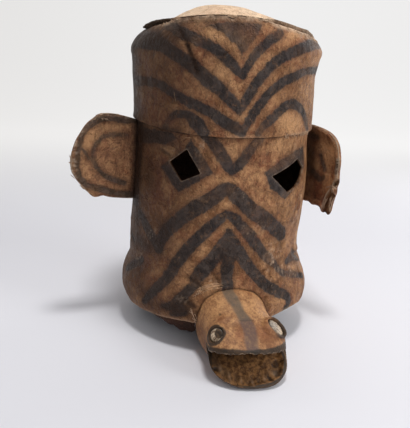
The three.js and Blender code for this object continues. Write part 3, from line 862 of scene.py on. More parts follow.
def side_shade(turn):
    """Painted shade that darkens the mask at the viewer's left, where less light falls."""
    shade = SHADED_SIDE * smooth_step(-14, -50, turn) + SHADED_EDGE * smooth_step(-62, -88, turn)
    return smooth_step(-175, -100, turn) * shade


# Lines that the cloth folds in along: angle, height, depth, and the line's half width
CREASES = [
    ([(76, 102, 1.6), (67, 103, 4.2), (60, 107, 3.0), (53, 115, 1.6), (47, 128, 0.0)], 3.6),
    ([(30, 150, 0.0), (33, 142, 1.6), (36, 132, 1.6), (40, 122, 0.0)], 3.0),
    ([(17, 73, 2.6), (18, 64, 2.0), (20, 50, 0.0)], 2.2),
    ([(-24, 62, 1.8), (-32, 70, 1.2), (-42, 74, 0.0)], 3.0),
    ([(-21, 84, 1.6), (-28, 92, 1.0), (-36, 98, 0.0)], 3.0),
    ([(-10, 90, 1.4), (-14, 104, 0.9), (-18, 118, 0.0)], 2.6),
    ([(4, 90, 1.4), (9, 102, 1.0), (16, 112, 0.0)], 2.6),
    ([(20, 80, 1.6), (30, 88, 1.2), (42, 92, 0.0)], 3.0),
    ([(12, 96, 0.0), (19, 104, 1.4), (27, 108, 0.0)], 2.4),
    ([(22, 92, 0.0), (25, 104, 1.4), (24, 118, 0.0)], 2.4),
    ([(-70, 60, 0.0), (-62, 72, 1.4), (-58, 88, 1.2), (-56, 104, 0.0)], 5.0),
    ([(60, 60, 0.0), (56, 74, 1.4), (56, 88, 1.2), (60, 100, 0.0)], 5.0),
    ([(-60, 250, 0.0), (-50, 246, 1.4), (-44, 240, 0.0)], 3.0),
    ([(-72, 240, 0.0), (-66, 215, 1.2), (-64, 190, 0.0)], 5.0),
    ([(52, 205, 0.0), (50, 185, 1.4), (42, 165, 0.0)], 4.0),
    ([(-2, 200, 0.0), (2, 212, 1.0), (12, 220, 0.0)], 3.0),
    ([(-98, 128, 1.0), (-88, 120, 1.8), (-76, 112, 0.0)], 4.0),
]
SCRATCHES = [(28, 98, 29, 104), (57, 195, 58, 208), (-37, 268, -33, 269.5)]
# Silvery places with pale specks, painted glints on the crinkled cloth: angle, height, half sizes, strength
SHINES = [
    (30, 112, 16, 14, 0.5), (45, 92, 16, 10, 0.5), (26, 128, 8, 14, 0.5), (56, 190, 10, 30, 0.45),
    (50, 165, 14, 12, 0.45), (7, 164, 14, 10, 0.45), (24, 88, 14, 8, 0.35), (62, 110, 10, 20, 0.4),
    (-26, 262, 8, 12, 0.35), (-58, 140, 12, 16, 0.25), (-2, 205, 8, 8, 0.3), (-44, 246, 8, 8, 0.35),
    (40, 258, 18, 6, 0.35), (-14, 92, 10, 6, 0.4), (-30, 70, 10, 8, 0.2), (-70, 100, 12, 16, 0.25),
]


NECK_HEIGHT, PUCKERS = 44.0, 13  # height of the neck's middle, and how many folds run round it
NEAR_NECK = 60.0  # folds and painted shade round the neck end before this, in mm
SHARP_FOLD = 4.5  # creases narrower than this get painted shade
EAR_ROOT_SHADES = [(-87, 9), (86, 6)]  # painted shade beside the ears: angle, half width
HIDDEN = {"paint": NO_PAINT, "tone": -0.6, "grime": 0.8}  # values inside the mask: no paint, a darker tone and painted shade


def face_sink(theta, z, base):
    """How far the face's cloth is pushed in from its plain form."""
    u = wrapped(theta) * FACE_MM
    sink = 1.1 * noise(base, 58, 3, 2) + 0.95 * noise(base, (17, 17, 26), 4, 3)
    sink += crease_depth(u, z, CREASES, FACE_MM)
    excess = snout_excess(base)
    near = excess < NEAR_NECK
    around = np.arctan2(z - NECK_HEIGHT, u)
    pucker = np.sin(around * PUCKERS + 1.5 * noise(base, 25, 8, 1)) * hump(excess, 0, 19)
    sink += 1.1 * pucker * near
    sink -= 1.6 * hump(excess, 4, 4.5) * near
    return sink * (1 - smooth_step(266, 282, z))


def face_values(theta, share, z, base):
    """The face's marks, dirt and wear, with painted shade and painted glints."""
    turn = wrapped(theta)
    u = turn * FACE_MM
    marks = FACE_STROKES, FACE_AREAS, FACE_TONES, FACE_SMEARS_AND_SHADE, FACE_FADES
    values = cloth_marks(u, z, base, marks, FACE_MM)
    excess = snout_excess(base)
    grime = values["grime"]
    # Painted shade round the neck, where the carved head comes out through the cloth
    grime += 0.45 * hump(excess, 0, 1.5) * (excess < NEAR_NECK)
    # Painted shadow along the seam, under the crown's lower edge
    grime += 0.7 * hump(seam_height(theta), z, 2.2)
    grime += side_shade(turn) * lerp(0.80, 1.0, smooth_step(60, 170, z))
    for angle, half in EAR_ROOT_SHADES:
        grime += 0.8 * hump(wrapped(theta - angle), 0, half) * smooth_step(158, 175, z)
    # Painted shade in the sharp creases
    sharp = [crease for crease in CREASES if crease[1] < SHARP_FOLD]
    grime += 0.30 * np.clip(crease_depth(u, z, sharp, FACE_MM), 0, 1.2)
    torn = smooth_step(-0.5, 0.6, noise(base, (6, 6, 6), 23, 3))
    glint_flakes = smooth_step(0.10, 0.45, noise(base, (3.2, 3.2, 5), 22, 4, 0.7))
    values["bare"] = 0.42 * torn * hump(eye_depth(u, z), 0, 0.6) + 0.35 * hump(share, 0, 0.008)
    # Pale specks in the shining places: painted glints
    values["bare"] += 1.25 * glint_flakes * blobs(u, z, SHINES, FACE_MM)
    return values


def on_face(theta, z):
    """Places just over the face's cloth."""
    sink = face_sink(theta, z, tube_point(FACE_SECTIONS, theta, z))
    return tube_point(FACE_SECTIONS, theta, z, sink - 0.25)


def build_face():
    theta, share, faces = clipped_grid(ROUND_DEGREES, spread([(0, 1.0001, 1 / 150)]), face_keep, True)
    z = face_height(theta, share)
    z = z + 1.2 * row_noise(theta, FACE_MM, 11, 21) * (1 - smooth_step(0, 0.03, share)) * (z > 2)
    base = tube_point(FACE_SECTIONS, theta, z)
    sink = face_sink(theta, z, base)
    fine = 0.22 * noise(base, (5, 5, 9), 5, 2)
    outer = tube_point(FACE_SECTIONS, theta, z, sink + fine)
    inner = tube_point(FACE_SECTIONS, theta, z, WALL + sink)
    points, faces = closed_shell(outer, inner, faces)
    attributes = skin_values(face_values(theta, share, z, base), HIDDEN)
    draw = np.random.RandomState(5)
    fibres = straight_lines(SCRATCHES)
    fibres += loose_lines(draw, (-22, 80), (-9, 89), 12, (2.5, 3.0), 3.0)
    fibres += loose_lines(draw, (-24, 74), (-19, 86), 4, (1.5, 3.0), 1.0)
    torn_edge = loose_lines(draw, (-21.2, 38), (-25.5, 60), 3, (0.25, 2.0))
    groups = (
        (fibres, 0.34, {"bare": 0.36, "tone": 1.0}),
        (torn_edge, 0.4, {"bare": 0.8, "tone": 1.0}),
    )
    points, faces = lay_strands(points, faces, attributes, groups, on_face)
    made = mesh_object("mask_face", points, faces, attributes, 50)
    finish_piece(made, "bark_cloth", CLOTH, "face_shell")


HAT_CREASES = [
    ([(-44, 396, 0.0), (-41.5, 389, 2.0), (-38, 380, 1.8), (-35, 370, 1.8), (-32, 360, 2.0),
      (-30, 349, 1.4), (-28, 336, 0.0)], 3.0),
    ([(-38, 390, 0.0), (-35, 376, 1.0), (-33, 364, 0.0)], 2.4),
    ([(-20, 366, 0.0), (-15, 370, 1.0), (-12, 375, 0.0)], 2.0),
    ([(-8, 333, 0.0), (-5, 340, 1.0), (-3, 346, 0.0)], 2.4),
    ([(-70, 350, 0.0), (-66, 330, 1.6), (-68, 310, 0.0)], 6.0),
    ([(-92, 384, 0.0), (-94, 372, 2.0), (-90, 362, 0.0)], 4.0),
    ([(10, 330, 0.0), (16, 322, 0.9), (20, 312, 0.0)], 3.0),
    ([(-55, 318, 0.0), (-44, 312, 1.2), (-36, 300, 0.0)], 4.0),
]
HAT_SCRATCHES = [(-43.3, 321, -42.8, 309)]
DARK_SCRATCHES = [(-16.8, 364, -13, 372), (-15.5, 368, -13.6, 370), (-36, 372, -34.6, 376)]


EDGE_RISE = 2.4  # how far the torn front of the crown stands above its plain edge


def hat_sink(theta, z, base):
    """How far the crown's cloth is pushed in from its plain form."""
    turn = wrapped(theta)
    sink = 1.0 * noise(base, 56, 13, 2) + 0.9 * noise(base, (18, 18, 24), 14, 3)
    right, left = between(turn, 20, 58, 100, 140), between(turn, -150, -120, -84, -60)
    sink += left * (2.2 * smooth_step(376, 392, z) - 1.8 * hump(z, 364, 11))
    sink += right * (3.4 * hump(z, 343, 22) - 2.0 * hump(z, 375, 9))
    sink += crease_depth(turn * HAT_MM, z, HAT_CREASES, HAT_MM)
    low = seam_height(theta)
    # The lower edge stands a little off the face
    return sink * smooth_step(0, 16, z - low) - 0.9 * hump(z, low, 5)


def torn_front(turn):
    """1 where the crown's upper edge is torn and stands high, 0 elsewhere."""
    return between(turn, -58, -44, 4, 18)


def hat_ragged(theta):
    return row_noise(theta, HAT_MM, 8, 31, 5, 0.75)


def crown_edge(theta):
    """Height of the crown's torn upper edge."""
    rise = EDGE_RISE + 0.9 * row_noise(theta, HAT_MM, 5, 33, 3, 0.7)
    top = crown_height(theta) + 0.9 * hat_ragged(theta) + torn_front(wrapped(theta)) * rise
    return top - 1.8 * hump(wrapped(theta + 12.5), 0, 1.3)


def edge_lines(start, end, above, seed, gaps):
    """Runs of an irregular line along the crown's upper edge, with gaps where noise is low."""
    at = np.arange(start, end, 0.8)
    up = crown_edge(at) + above + 0.5 * row_noise(at, HAT_MM, 3, seed, 3, 0.7)
    kept = row_noise(at, HAT_MM, 9, seed + 1, 3, 0.6) > gaps
    runs, run = [], []
    for angle, height, keep in zip(at, up, kept):
        if keep:
            run.append((angle, height))
        if (not keep or angle == at[-1]) and run:
            if len(run) > 3:
                runs.append(np.array(run))
            run = []
    return runs


def hat_values(theta, share, z, base):
    """The crown's marks, dirt and wear, with painted shade and a painted highlight."""
    turn = wrapped(theta)
    u = turn * HAT_MM
    marks = HAT_STROKES, HAT_AREAS, HAT_TONES, HAT_SMEARS_AND_SHADE, HAT_FADES
    values = cloth_marks(u, z, base, marks, HAT_MM)
    grime = values["grime"]
    grime += 1.14 * side_shade(turn)
    # Painted shade in the crown's first three folds
    folds = np.clip(crease_depth(u, z, HAT_CREASES[:3], HAT_MM), 0, 2)
    grime += 0.50 * folds * (0.7 + 0.6 * noise(base, 6, 18, 2))
    front = between(turn, -66, -55, 60, 72)
    down = (crown_edge(theta) - z) * between(turn, -62, -50, 60, 75) - 1.6 * hat_ragged(theta)
    # Painted shadow in the gap under the lid's edge
    shadow_crack = 0.5 * front * hump(down, 4.6, 1.5) * smooth_step(22, 2, turn)
    grime += shadow_crack * (0.65 + 0.7 * row_noise(theta, HAT_MM, 7, 34))
    bare = 0.95 * front * hump(share, 1, 0.022)
    bare *= smooth_step(-0.6, 0.3, row_noise(theta, HAT_MM, 6, 35) + 0.5 * (turn > 12))
    # A pale line along the frayed lower edge where it catches the light: frayed cloth with a painted
    # highlight
    lit = between(turn, 26, 32, 50, 56) + 0.4 * between(turn, -14, -8, 8, 14)
    values["bare"] = bare + 0.40 * hump(share, 0, 0.018) * lit
    return values


def on_hat(theta, z):
    """Places just over the crown's cloth."""
    under = shoulder_inset(theta, np.minimum(z, crown_height(theta)))
    under = under + hat_sink(theta, z, tube_point(BAND_SECTIONS, theta, z))
    return tube_point(BAND_SECTIONS, theta, z, under - 0.2)


def build_crown():
    shares = spread([(0, 1.0001, 1 / 66)])
    theta, share, faces = clipped_grid(ROUND_DEGREES, shares, lambda a, b: np.ones(len(a)), True)
    low = seam_height(theta) + 0.4 * row_noise(theta, HAT_MM, 10, 32)
    z = lerp(low, crown_edge(theta), share)
    base = tube_point(BAND_SECTIONS, theta, z)
    sink = hat_sink(theta, z, base)
    fine = 0.2 * noise(base, (5, 5, 9), 15, 2)
    roll = shoulder_inset(theta, np.minimum(z, crown_height(theta)))
    outer = tube_point(BAND_SECTIONS, theta, z, roll + sink + fine)
    over_face = tube_point(FACE_SECTIONS, theta, z, -GAP)
    wall = tube_point(BAND_SECTIONS, theta, z, roll + WALL + sink)
    inner = np.where((z < FACE_TOP + GAP)[:, None], over_face, wall)
    points, faces = closed_shell(outer, inner, faces)
    inside = {**HIDDEN, "bare": 0.6 * (share > 0.97)}
    attributes = skin_values(hat_values(theta, share, z, base), inside)
    draw = np.random.RandomState(6)
    fringe = []
    for _ in range(34):
        at = draw.uniform(24, 54)
        fringe += loose_lines(draw, (at, 279.0), (at + draw.uniform(-1.5, 1.5), 274.5), 1, (0.6, 1.4))
    for _ in range(60):
        at = draw.uniform(-58, 60)
        high = crown_height(at) + EDGE_RISE * torn_front(at) + draw.uniform(-0.9, 0.9)
        end = (at + draw.uniform(-3.5, 3.5), high + 0.9)
        fringe += loose_lines(draw, (at, high - 2.4), end, 1, (0.8, 0.6))
    lip = edge_lines(-66, -12, -0.7, 36, -0.12) + edge_lines(-9, 68, -0.6, 37, -0.3)
    # Dark strands along the top edge: painted shadow in the gap under the lid
    shadow_crack = edge_lines(-50, 6, 0.7, 38, -0.15) + edge_lines(-15, -10, -1.2, 39, -2)
    groups = (
        (lip, 0.6, {"bare": 0.8}),
        (shadow_crack, 0.5, {"grime": 1.0}),
        (fringe, 0.36, {"bare": 0.5, "grime": 0.1}),
        (straight_lines(HAT_SCRATCHES), 0.24, {"bare": 0.4}),
        (straight_lines(DARK_SCRATCHES), 0.4, {"grime": 0.95}),
    )
    points, faces = lay_strands(points, faces, attributes, groups, on_hat)
    made = mesh_object("mask_crown", points, faces, attributes, 50)
    finish_piece(made, "crown_cloth", CROWN_CLOTH, "crown_band")


def lid_height(angle, share):
    edge = crown_height(angle) + GAP + LID_THICKNESS
    edge = edge + LID_LIFT * hump(angle, LID_LIFT_ANGLE, LID_LIFT_SPREAD)
    vault = table_at(LID_VAULT, LID_CENTRE_X + share * LID_RADIUS * np.sin(np.radians(angle)))[:, 0]
    return lerp(vault, edge, share**LID_EDGE_POWER)


def build_lid():
    around, rings = 240, 44
    angles = np.arange(around) * 360 / around - 180
    shares = np.linspace(0.02, 1, rings) ** 0.8
    theta, share = np.repeat(angles, rings), np.tile(shares, around)
    ragged = 0.9 * row_noise(theta, LID_MM, 8, 41, 4, 0.6) * smooth_step(0.9, 1.0, share)
    radius = share * LID_RADIUS + ragged
    a = np.radians(theta)
    x, y = LID_CENTRE_X + radius * np.sin(a), -radius * np.cos(a)
    base = np.stack([x, y, 0 * x], 1)
    wave = 0.7 * noise(base, 34, 42, 3) * (1 - smooth_step(0.85, 1.0, share))
    top = lid_height(theta, share) + wave - 0.25 * np.abs(noise(base, 5, 43, 2))
    # The edge is thin at the viewer's left, whole in the middle and lifted at the right
    left, middle = between(theta, -120, -105, -53, -47), between(theta, -50, -44, 8, 14)
    right = between(theta, 6, 16, 67, 70)
    edge = smooth_step(0.93, 0.985, share)
    top += 1.6 * right * smooth_step(0.9, 1.0, share) - 0.5 * left * edge
    top += 0.8 * left * edge * row_noise(theta, LID_MM, 5, 45, 3, 0.7)
    top += (1.7 + 0.9 * row_noise(theta, LID_MM, 4, 47, 3, 0.7)) * edge * hump(theta, 47, 9)
    bottom = top - LID_THICKNESS + 0.3 + edge * (2.2 * left - 1.9 * right)
    faces = [tuple(i * rings for i in range(around))]
    for i in range(around):
        n = (i + 1) % around
        for j in range(rings - 1):
            faces.append((i * rings + j, i * rings + j + 1, n * rings + j + 1, n * rings + j))
    points, faces = closed_shell(np.stack([x, y, top], 1), np.stack([x, y, bottom], 1), faces)
    rough = 0.75 + 0.5 * row_noise(theta, LID_MM, 3, 46, 3, 0.7)
    # The top darkens along its edge at both sides: painted shade, deepest on the lifted edge at the viewer's
    # left
    outer = {
        "tone": 0.4 + 0.8 * noise(base, 22, 44, 3),
        "grime": edge * (0.92 * left + 0.66 * right * rough),
        "bare": 0.25 * (1 - edge),
    }
    # The underside is darker, most at the sides: painted shade under the lid
    below = 0.4 + 0.50 * left + 0.42 * right - 0.3 * middle
    attributes = skin_values(outer, {"tone": -0.5, "grime": below})
    # The pale torn lip along the lid's lower edge at the viewer's right
    hem = np.arange(10, 68, 0.8)
    rim = slice(rings - 1, None, rings)
    at = np.interp(hem, angles, bottom[rim]) + 0.4 + 0.5 * row_noise(hem, LID_MM, 5, 48, 3, 0.7)
    turn = np.radians(hem)
    reach = np.interp(hem, angles, radius[rim]) + 0.1
    line = np.stack([LID_CENTRE_X + reach * np.sin(turn), -reach * np.cos(turn), at], 1)
    points, faces = with_strands(points, faces, attributes, [line], 0.7, bare=0.9)
    made = mesh_object("mask_lid", points, faces, attributes, 50)
    finish_piece(made, "raw_cloth", RAW_CLOTH, "crown_lid")


# Ears: where each is sewn on, the way that it runs and the way that its front faces,
# its outline and marks as distance from the tube and height, and its torn places
EAR_FOLD, EAR_FLAT, EAR_LIP = 8.0, 5.0, 2.4  # thickness at the folded edge, inside it, at the rim
EAR_FOLD_HALF, EAR_FOLD_END = 3.5, 9.0  # how far in from the rim the fold is thickest, and ends
TORN_DEPTH, TORN_LEFT = 3.2, 1.6  # how deep torn places go, and the cloth that they leave
EARS = [
    {
        "name": "ear_right", "at": (-117, 0), "turn": 195.0, "facing": -75.0,
        "outline": [(-6, 274), (0, 274.5), (27, 281), (50, 282.5), (60, 277), (70, 268.5),
                    (77, 258), (83, 248), (87, 236), (89.5, 224), (88.5, 212), (85, 203),
                    (78, 193), (71, 185), (65, 179), (60, 174.5), (54, 173.5), (46, 175),
                    (38, 172.5), (20, 170), (0, 168.5), (-6, 168.5)],
        "strokes": [
            [(-6, 273, 9), (7, 274.5, 8), (22, 274.5, 8), (39, 276.5, 8), (53.5, 274.5, 9),
             (66, 267.5, 9), (74.5, 257, 7), (79, 244, 6), (81.5, 231, 6), (82, 220, 7),
             (80.5, 210, 7), (77, 199, 7), (68, 191, 7), (53, 185, 8), (36, 180, 7), (19, 175.5, 8),
             (-6, 174, 9)],
            [(15, 254.5, 5), (24.5, 254, 5.5), (37, 255, 5.5), (47, 253, 5), (56, 245, 4.5), (60, 235, 4.5),
             (60, 225, 5), (55, 214, 5.5), (47.5, 205, 6.5), (37, 197, 7.5), (26, 193, 7.5), (17, 191, 7)],
            [(76, 239, 3), (70, 232, 4), (66, 225, 3)],
        ],
        "tones": [(63, 254, 8, 9, 1.2), (70, 242, 6, 8, 0.9), (56, 250, 6, 6, 0.8), (66, 179, 10, 6, 1.0),
                  (30, 225, 26, 22, 0.1), (28, 266, 20, 5, 0.7), (71, 213, 5, 10, 0.6),
                  (66, 201, 8, 6, 0.5), (38, 212, 12, 8, 0.3), (30, 240, 20, 8, 0.5),
                  (89, 215, 3, 12, 1.0), (48, 266, 10, 5, 0.5), (40, 232, 8, 10, -0.5)],
        "smears_and_shade": [(84, 262, 8, 14, 0.4), (86, 222, 5, 8, 0.35), (60, 281, 10, 3, 0.3), (68, 226, 4, 8, 0.35),
                   (20, 182, 20, 6, 0.2), (45, 187, 10, 5, 0.2), (22, 272, 18, 4, 0.2)],
        "fade": 0.22,
        "fades": [(60, 228, 8, 12, 0.3), (37, 255, 16, 6, 0.15), (72, 262, 10, 8, 0.15),
                  (60, 187, 14, 6, 0.15), (88, 215, 5, 16, 0.3)],
        "fibres": [((91, 224), (86, 219), 9, (1.2, 7), 2.6), ((89, 208), (84, 205), 5, (1.2, 6), 2.6),
                   ((52, 281), (46, 275), 8, (6, 1.5), 3.0), ((63, 273), (56, 278), 4, (3, 2), 3.0),
                   ((70, 184), (78, 190), 4, (3, 2), 3.0)],
        "worn": [(85, 236, 4, 16, 0.5), (85, 214, 3.5, 12, 0.5), (72, 269, 9, 4, 0.35),
                 (58, 279, 8, 2.5, 0.5), (76, 196, 6, 5, 0.3)],
        "threads": [[(89.5, 232), (90, 223), (89, 213), (86, 204)], [(83, 249), (86, 240)],
                    [(28, 281.5), (44, 282.8), (54, 281)], [(80, 195), (73, 187), (66, 180.5)]],
        "root_shade": 13.0,
    },
    {
        "name": "ear_left", "at": (117, 8), "turn": -70.0, "facing": 200.0,
        "outline": [(-6, 275), (0, 276), (16, 277.5), (32, 276.5), (45, 274.5), (54, 272),
                    (61, 268.5), (67, 263.5), (72, 257), (76, 247), (78, 236), (78, 224),
                    (79, 210), (76.5, 203), (77, 196), (75, 188), (73, 176), (72, 168),
                    (68, 162.5), (63, 165), (57, 163.5), (52, 169), (44, 170), (36, 168.5),
                    (28, 171), (18, 170), (0, 171), (-6, 171)],
        "strokes": [
            [(40, 240, 5), (46, 231, 6), (51.5, 222, 5)],
            [(30, 214, 9), (42, 208, 9), (50, 211, 5)],
            [(75, 240, 4), (77, 230, 6), (76, 222, 4)],
            [(20, 262, 8), (32, 262, 5)],
        ],
        "tones": [(48, 254, 10, 8, 1.1), (58, 246, 9, 8, 1.2), (64, 254, 7, 10, 0.9), (41, 247, 6, 6, 0.3),
                  (56, 232, 7, 10, 0.9), (36, 224, 7, 8, 1.0), (60, 212, 8, 14, 0.7), (74, 206, 4, 5, 1.3),
                  (76, 218, 3, 5, 1.3), (78, 252, 4, 16, 1.4), (32, 268, 14, 5, 0.4), (42, 190, 10, 8, -0.5),
                  (64, 192, 8, 5, 0.4)],
        "smears_and_shade": [(18, 266, 12, 14, 0.55), (22, 240, 13, 16, 0.6), (24, 215, 14, 16, 0.65),
                   (30, 185, 18, 14, 0.6), (50, 182, 12, 12, 0.4), (74, 207, 3.5, 3.5, 1.0),
                   (79.5, 199, 3, 5, 1.0), (67, 184, 4, 7, 0.8), (60, 176, 3, 8, 0.5), (40, 206, 10, 5, 0.3),
                   (55, 259, 6, 4, 0.25)],
        "fade": 0.25,
        "fades": [(20, 262, 10, 6, 0.3)],
        "fibres": [((69, 203), (74, 197), 8, (2.5, 3), 3.4), ((73, 212), (77, 218), 7, (1.5, 4), 3.4),
                   ((62, 186), (60, 172), 5, (3, 3), 3.4), ((72, 190), (70, 172), 5, (2, 3), 3.4),
                   ((79, 236), (78, 222), 5, (0.8, 4), 3.0), ((60, 199), (70, 203), 4, (2, 2), 3.4)],
        "torn": [
            [(57, 160), (58, 176), (61, 188), (66, 197), (70, 200), (76, 193), (79, 188), (76, 160)],
            [(72, 203), (77, 202), (81, 206), (80, 214), (76, 216), (73, 210)],
        ],
        "worn": [(76, 246, 2.4, 22, 0.7), (77, 218, 2.2, 8, 0.7), (66, 264, 8, 2.4, 0.5),
                 (70, 202, 5, 3, 0.8), (74, 180, 2, 12, 0.5), (60, 184, 1.6, 12, 0.4)],
        "threads": [[(54, 272.4), (61, 269), (67, 264), (72, 257.5), (76, 247.5), (78.2, 236), (78.2, 224),
                     (79, 213)], [(57, 166), (58.5, 177), (61, 187), (66, 196), (70, 200)],
                    [(73, 168), (74.5, 178), (76, 186), (79, 190)], [(73, 204), (77, 203), (80.5, 207)]],
        "root_shade": 16.0,
    },
]


def ear_values(ear, out, z, spot, depth, torn, gone):
    """An ear's marks, dirt and wear, with painted shade near its root."""
    at_out, at_z = out + 1.2 * noise(spot, 12, 54, 2), z + 1.2 * noise(spot, 12, 55, 2)
    # Painted shade near the ear's root, where it meets the tube
    grime = 0.9 * (1 - smooth_step(2, ear["root_shade"], out)) + blobs(at_out, at_z, ear["smears_and_shade"])
    worn = smooth_step(-0.1, 0.4, noise(spot, (4, 5, 2.6), 56, 4, 0.7)) * (out > 4)
    bare = 0.5 * hump(depth, 0.6, 1.3) * worn
    bare += blobs(out, z, ear["worn"]) * smooth_step(-0.1, 0.5, noise(spot, (5, 5, 1.8), 59, 3, 0.7))
    return {
        "paint": stroke_depth(at_out, at_z, ear["strokes"]),
        "tone": blobs(out, z, ear["tones"]),
        "grime": np.maximum(grime, 0.80 * gone * (0.75 + 0.5 * noise(spot, (3, 3, 8), 58, 3))),
        "bare": np.maximum(bare * (1 - gone), 0.65 * hump(torn, -0.9, 0.9)),
        "fade": np.minimum(ear["fade"] + blobs(at_out, at_z, ear["fades"]), 0.9),
    }


def build_ear(ear):
    outline = smooth_line(ear["outline"], 3)
    us, vs = np.arange(-6, 92.1, 1.3), np.arange(160, 285.1, 1.3)
    out, z, faces = clipped_grid(us, vs, lambda a, b: polygon_depth(a, b, outline), False)
    depth = np.where(out < 2, 12, polygon_depth(out, z, outline))
    spot = np.stack([out, 0 * out, z], 1)
    fold = lerp(EAR_LIP, EAR_FOLD, np.sqrt(np.clip(depth / EAR_FOLD_HALF, 0, 1)))
    flat = lerp(EAR_FOLD, EAR_FLAT, smooth_step(EAR_FOLD_HALF, EAR_FOLD_END, depth))
    thick = np.where(depth > EAR_FOLD_HALF, flat, fold)
    bend = 1.2 * noise(spot, 34, 51, 2) * smooth_step(0, 20, out)
    dish = -1.6 * smooth_step(6, 24, depth)
    wrinkle = 0.35 * noise(spot, (9, 9, 9), 52, 3)
    torn = np.full(len(out), -9.0)
    for area in ear.get("torn", ()):
        torn = np.maximum(torn, polygon_depth(out, z, area) + 1.3 * noise(spot, 5, 57, 3))
    gone = smooth_step(-0.6, 1.2, torn)
    front = thick / 2 + dish + bend + wrinkle - np.minimum(TORN_DEPTH, thick - TORN_LEFT) * gone
    back = -thick / 2 + 0.5 * dish + bend + 0.3 * noise(spot, 11, 53, 2)
    along, facing = direction(ear["turn"]), direction(ear["facing"])

    def at(out, z, side):
        xy = np.array(ear["at"]) + np.outer(out, along) + np.outer(side, facing)
        return np.column_stack([xy, z])

    if along[0] * facing[1] > along[1] * facing[0]:
        faces = [tuple(reversed(face)) for face in faces]
    points, faces = closed_shell(at(out, z, front), at(out, z, back), faces)
    values = ear_values(ear, out, z, spot, depth, torn, gone)
    inside = {"paint": NO_PAINT, "tone": -0.2, "grime": 0.5 * values["grime"]}
    attributes = skin_values(values, inside)
    draw = np.random.RandomState(8)
    fibres = []
    for start, end, many, scatter, lift in ear["fibres"]:
        for line in loose_lines(draw, start, end, many, scatter):
            fibres.append(at(line[:, 0], line[:, 1], np.linspace(lift * 0.6, lift, len(line))))
    points, faces = with_strands(points, faces, attributes, fibres, 0.4, bare=0.5, grime=0.15)
    threads = []
    for thread in ear["threads"]:
        line = smooth_line(thread)
        line += 0.35 * noise(np.column_stack([line, 0 * line[:, 0]]), 3, 60, 2)[:, None]
        threads.append(at(line[:, 0] - 0.6, line[:, 1], np.full(len(line), 2.4)))
    points, faces = with_strands(points, faces, attributes, threads, 0.55, bare=0.75)
    made = mesh_object("mask_" + ear["name"], points, faces, attributes, 60)
    finish_piece(made, "ear_cloth", EAR_CLOTH, ear["name"])


# Carved head


def loft(rings):
    count = len(rings[0])
    points = np.vstack(rings)
    faces = []
    for r in range(len(rings) - 1):
        for i in range(count):
            n = (i + 1) % count
            faces.append((r * count + i, r * count + n, (r + 1) * count + n, (r + 1) * count + i))
    faces.append(tuple(reversed(range(count))))
    faces.append(tuple((len(rings) - 1) * count + i for i in range(count)))
    return points, outward(points, faces)


def outward(points, faces):
    """The faces of a closed form, all turned so that they look outwards."""
    middle = points.mean(0)
    volume = 0.0
    for face in faces:
        a = points[face[0]] - middle
        for p, q in zip(face[1:], face[2:]):
            volume += a @ np.cross(points[p] - middle, points[q] - middle)
    return faces if volume > 0 else [tuple(reversed(face)) for face in faces]


def snout_rings(around=96, steps=46):
    rings = []
    for s in np.linspace(0, 1, steps):
        reach = lerp(SNOUT_SECTIONS[0][0], SNOUT_SECTIONS[-1][0], math.sin(s * math.pi / 2))
        centre, half, top, bottom, middle, lean = table_at(SNOUT_SECTIONS, [reach])[0]
        a = np.arange(around) * 2 * math.pi / around
        above = np.sin(a) >= 0
        power = 2 / np.where(above, SNOUT_ROUNDNESS, SNOUT_FULLNESS)
        tall = np.where(above, top - middle, middle - bottom)
        across = np.sign(np.cos(a)) * np.abs(np.cos(a)) ** power
        up = np.sign(np.sin(a)) * np.abs(np.sin(a)) ** power
        low_left = (across < 0) & (up < 0)
        wider = JAW_FULLNESS * smooth_step(172, 198, reach) * smooth_step(0, 0.7, -up) * low_left
        x = centre + (half + wider) * across - lean * tall * up
        rings.append(np.column_stack([x, np.full(around, -reach), middle + tall * up]))
    return rings


def eye_turn(outward_way):
    """Turns an eye's own axes, right, up and out, into the mask's."""
    out = np.array(outward_way) / np.linalg.norm(outward_way)
    right = np.cross((0, 0, 1), out)
    right /= np.linalg.norm(right)
    return np.column_stack([right, np.cross(out, right), out])


def eye_place(points, eye):
    """Points on an eye's own axes, and how far each is from the middle one."""
    local = (points - np.array(eye.middle)) @ eye_turn(eye.way)
    return local, np.hypot(local[:, 0], local[:, 1])


def turned(profile, eye, around=64):
    """Rings of a profile of radius and height, turned round an eye's own axis."""
    a = np.arange(around) * 2 * math.pi / around
    rings = []
    for radius, height in profile:
        ring = np.column_stack([radius * np.cos(a), radius * np.sin(a), np.full(around, height)])
        rings.append(ring @ eye_turn(eye.way).T + np.array(eye.middle))
    return rings


def apply_boolean(target, tool, operation):
    change = target.modifiers.new("cut", "BOOLEAN")
    change.object = tool
    change.operation = operation
    change.solver = "EXACT"
    apply_modifiers(target)
    bpy.data.objects.remove(tool)


def apply_modifiers(made):
    graph = bpy.context.evaluated_depsgraph_get()
    mesh = bpy.data.meshes.new_from_object(made.evaluated_get(graph))
    made.modifiers.clear()
    old = made.data
    made.data = mesh
    bpy.data.meshes.remove(old)


def mesh_points(mesh):
    flat = np.empty(len(mesh.vertices) * 3)
    mesh.vertices.foreach_get("co", flat)
    normals = np.empty(len(mesh.vertices) * 3)
    mesh.vertices.foreach_get("normal", normals)
    return flat.reshape(-1, 3) / MM - SHIFT, normals.reshape(-1, 3)


def jaw_plane(reach):
    """Height of the lower face of the open mouth."""
    (a, b), (c, d) = MOUTH_CORNER, MOUTH_LOWER
    return b + (reach - a) * (d - b) / (c - a)


def mouth_roof(reach):
    """Height of the upper face of the open mouth."""
    line = np.array([MOUTH_CORNER, MOUTH_BEND, MOUTH_UPPER])
    return np.interp(reach, line[:, 0], line[:, 1])


